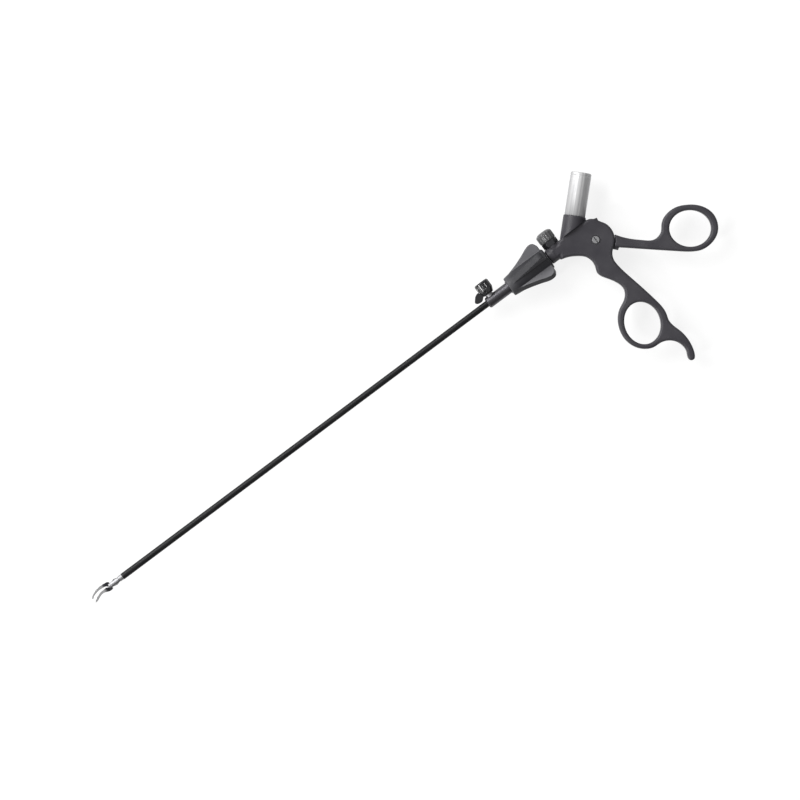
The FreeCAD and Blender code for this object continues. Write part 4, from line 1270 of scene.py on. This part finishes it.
@dataclass(frozen=True)
class Studio:
    """The pale floor, the soft light from the instrument's upper side and the camera.

    Lengths are in metres, and the camera's sensor is in millimetres.
    """

    view_centre: tuple[float, float] = (-92.7 * MM, -18.0 * MM)
    view_width: float = 580.0 * MM
    roll: float = math.radians(36.8)
    distance: float = 3.0
    floor_reach: float = 6.0
    floor_gap: float = 0.2 * MM
    bounce: float = 0.24
    glow: float = 0.81
    key_from: tuple[float, float, float] = (-0.8, 2.1, 1.85)
    key_size: float = 2.0
    key_power: float = 86.0
    fill_from: tuple[float, float, float] = (-2.3, 0.1, 2.1)
    fill_size: float = 0.5
    fill_power: float = 26.0
    bright_from: tuple[float, float, float] = (-0.3, 0.75, 0.5)
    bright_side: float = 0.55
    bright_at: float = 0.9
    dim_side: float = 0.12
    dim_at: float = -0.7
    sensor: float = 36.0
    near: float = 0.05
    far: float = 50.0

    def build(self) -> None:
        """Makes the floor, the lamps, the world and the camera."""
        self._floor()
        self._lamp("key", self.key_from, self.key_size, self.key_power)
        self._lamp("fill", self.fill_from, self.fill_size, self.fill_power)
        self._world()
        self._camera()
        bpy.context.scene.view_settings.view_transform = "Standard"

    def _floor(self) -> None:
        """Lays the floor just under the object."""
        low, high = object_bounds()
        middle = Vector(((low.x + high.x) / 2, (low.y + high.y) / 2, low.z - self.floor_gap))
        reach = self.floor_reach
        ways = ((-1, -1), (1, -1), (1, 1), (-1, 1))
        corners = [middle + Vector((x * reach, y * reach, 0.0)) for x, y in ways]
        mesh = bpy.data.meshes.new("floor")
        mesh.from_pydata(corners, [], [(0, 1, 2, 3)])
        floor = new_piece("floor", mesh)
        mesh.materials.append(self._floor_material())
        floor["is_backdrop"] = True

    def _floor_material(self) -> bpy.types.Material:
        """A floor that the camera and bright metal see as white, with the object's shadow on it.

        Returns:
            The material.
        """
        material = bpy.data.materials.new("floor")
        material.use_nodes = True
        tree = material.node_tree
        tree.nodes.clear()
        end = tree.nodes.new("ShaderNodeOutputMaterial")
        matt = tree.nodes.new("ShaderNodeBsdfDiffuse")
        matt.inputs["Color"].default_value = (self.bounce, self.bounce, self.bounce, 1.0)
        light = tree.nodes.new("ShaderNodeEmission")
        light.inputs["Color"].default_value = (1.0, 1.0, 1.0, 1.0)
        path = tree.nodes.new("ShaderNodeLightPath")
        seen = math_node(tree, "MAXIMUM")
        shiny = math_node(tree, "MAXIMUM")
        strength = math_node(tree, "MULTIPLY")
        strength.inputs[1].default_value = self.glow
        both = tree.nodes.new("ShaderNodeAddShader")
        links = tree.links
        links.new(path.outputs["Is Glossy Ray"], shiny.inputs[0])
        links.new(path.outputs["Is Transmission Ray"], shiny.inputs[1])
        links.new(path.outputs["Is Camera Ray"], seen.inputs[0])
        links.new(shiny.outputs[0], seen.inputs[1])
        links.new(seen.outputs[0], strength.inputs[0])
        links.new(strength.outputs[0], light.inputs["Strength"])
        links.new(matt.outputs[0], both.inputs[0])
        links.new(light.outputs[0], both.inputs[1])
        links.new(both.outputs[0], end.inputs["Surface"])
        return material

    def _lamp(self, name: str, place: tuple[float, float, float], size: float, power: float) -> None:
        """Hangs a soft lamp that looks at the origin.

        Args:
            name: the lamp's name.
            place: where it hangs.
            size: its edge.
            power: its power in watts.
        """
        data = bpy.data.lights.new(name, "AREA")
        data.size = size
        data.energy = power
        lamp = bpy.data.objects.new(name, data)
        lamp.location = place
        aim = -lamp.location
        lamp.rotation_mode = "QUATERNION"
        lamp.rotation_quaternion = aim.to_track_quat("-Z", "Y")
        bpy.context.scene.collection.objects.link(lamp)

    def _world(self) -> None:
        """Lights the room more from the key's side than from the other."""
        world = bpy.data.worlds.new("studio")
        world.use_nodes = True
        tree = world.node_tree
        shader = next(node for node in tree.nodes if node.type == "BACKGROUND")
        shader.inputs["Color"].default_value = (1.0, 1.0, 1.0, 1.0)
        source = tree.nodes.new("ShaderNodeTexCoord")
        towards = tree.nodes.new("ShaderNodeVectorMath")
        towards.operation = "DOT_PRODUCT"
        towards.inputs[1].default_value = Vector(self.bright_from).normalized()
        level = tree.nodes.new("ShaderNodeMapRange")
        level.inputs["From Min"].default_value = self.dim_at
        level.inputs["From Max"].default_value = self.bright_at
        level.inputs["To Min"].default_value = self.dim_side
        level.inputs["To Max"].default_value = self.bright_side
        tree.links.new(source.outputs["Generated"], towards.inputs[0])
        tree.links.new(towards.outputs["Value"], level.inputs["Value"])
        tree.links.new(level.outputs["Result"], shader.inputs["Strength"])
        bpy.context.scene.world = world

    def _camera(self) -> None:
        """Hangs the camera straight above, turned so that the shaft runs as in the photograph."""
        data = bpy.data.cameras.new("camera")
        data.sensor_width = self.sensor
        data.lens = data.sensor_width * self.distance / self.view_width
        data.clip_start = self.near
        data.clip_end = self.far
        camera = bpy.data.objects.new("camera", data)
        camera.location = (*self.view_centre, self.distance)
        camera.rotation_mode = "XYZ"
        camera.rotation_euler = (0.0, 0.0, -self.roll)
        bpy.context.scene.collection.objects.link(camera)
        bpy.context.scene.camera = camera


def main() -> None:
    """Builds every piece and the studio."""
    logging.basicConfig(level=logging.INFO, format="%(name)s %(message)s")
    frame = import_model()
    wardrobe = Wardrobe()
    wardrobe.dress_frame(frame)
    mouldings = [
        MouldedCopy("handle_body", "handle", "handle_plastic", voxel=0.40 * MM, rounds=3),
        MouldedCopy("thumb_lever", "lever", "handle_plastic", voxel=0.36 * MM, rounds=4),
        MouldedCopy("lock_collar", "handle", "dark_steel", voxel=0.10 * MM, rounds=3),
    ]
    for moulding in mouldings:
        moulding.build(frame, wardrobe)
    JawPair().build(frame, wardrobe)
    ForkedEnd().build(frame, wardrobe)
    SlottedScrew().build(frame, wardrobe)
    PortCap().build(frame, wardrobe)
    FinnedWheel().build(wardrobe)
    RibbedKnob().build(wardrobe)
    CableSocket().build(wardrobe)
    Studio().build()


if __name__ == "__main__":
    main()
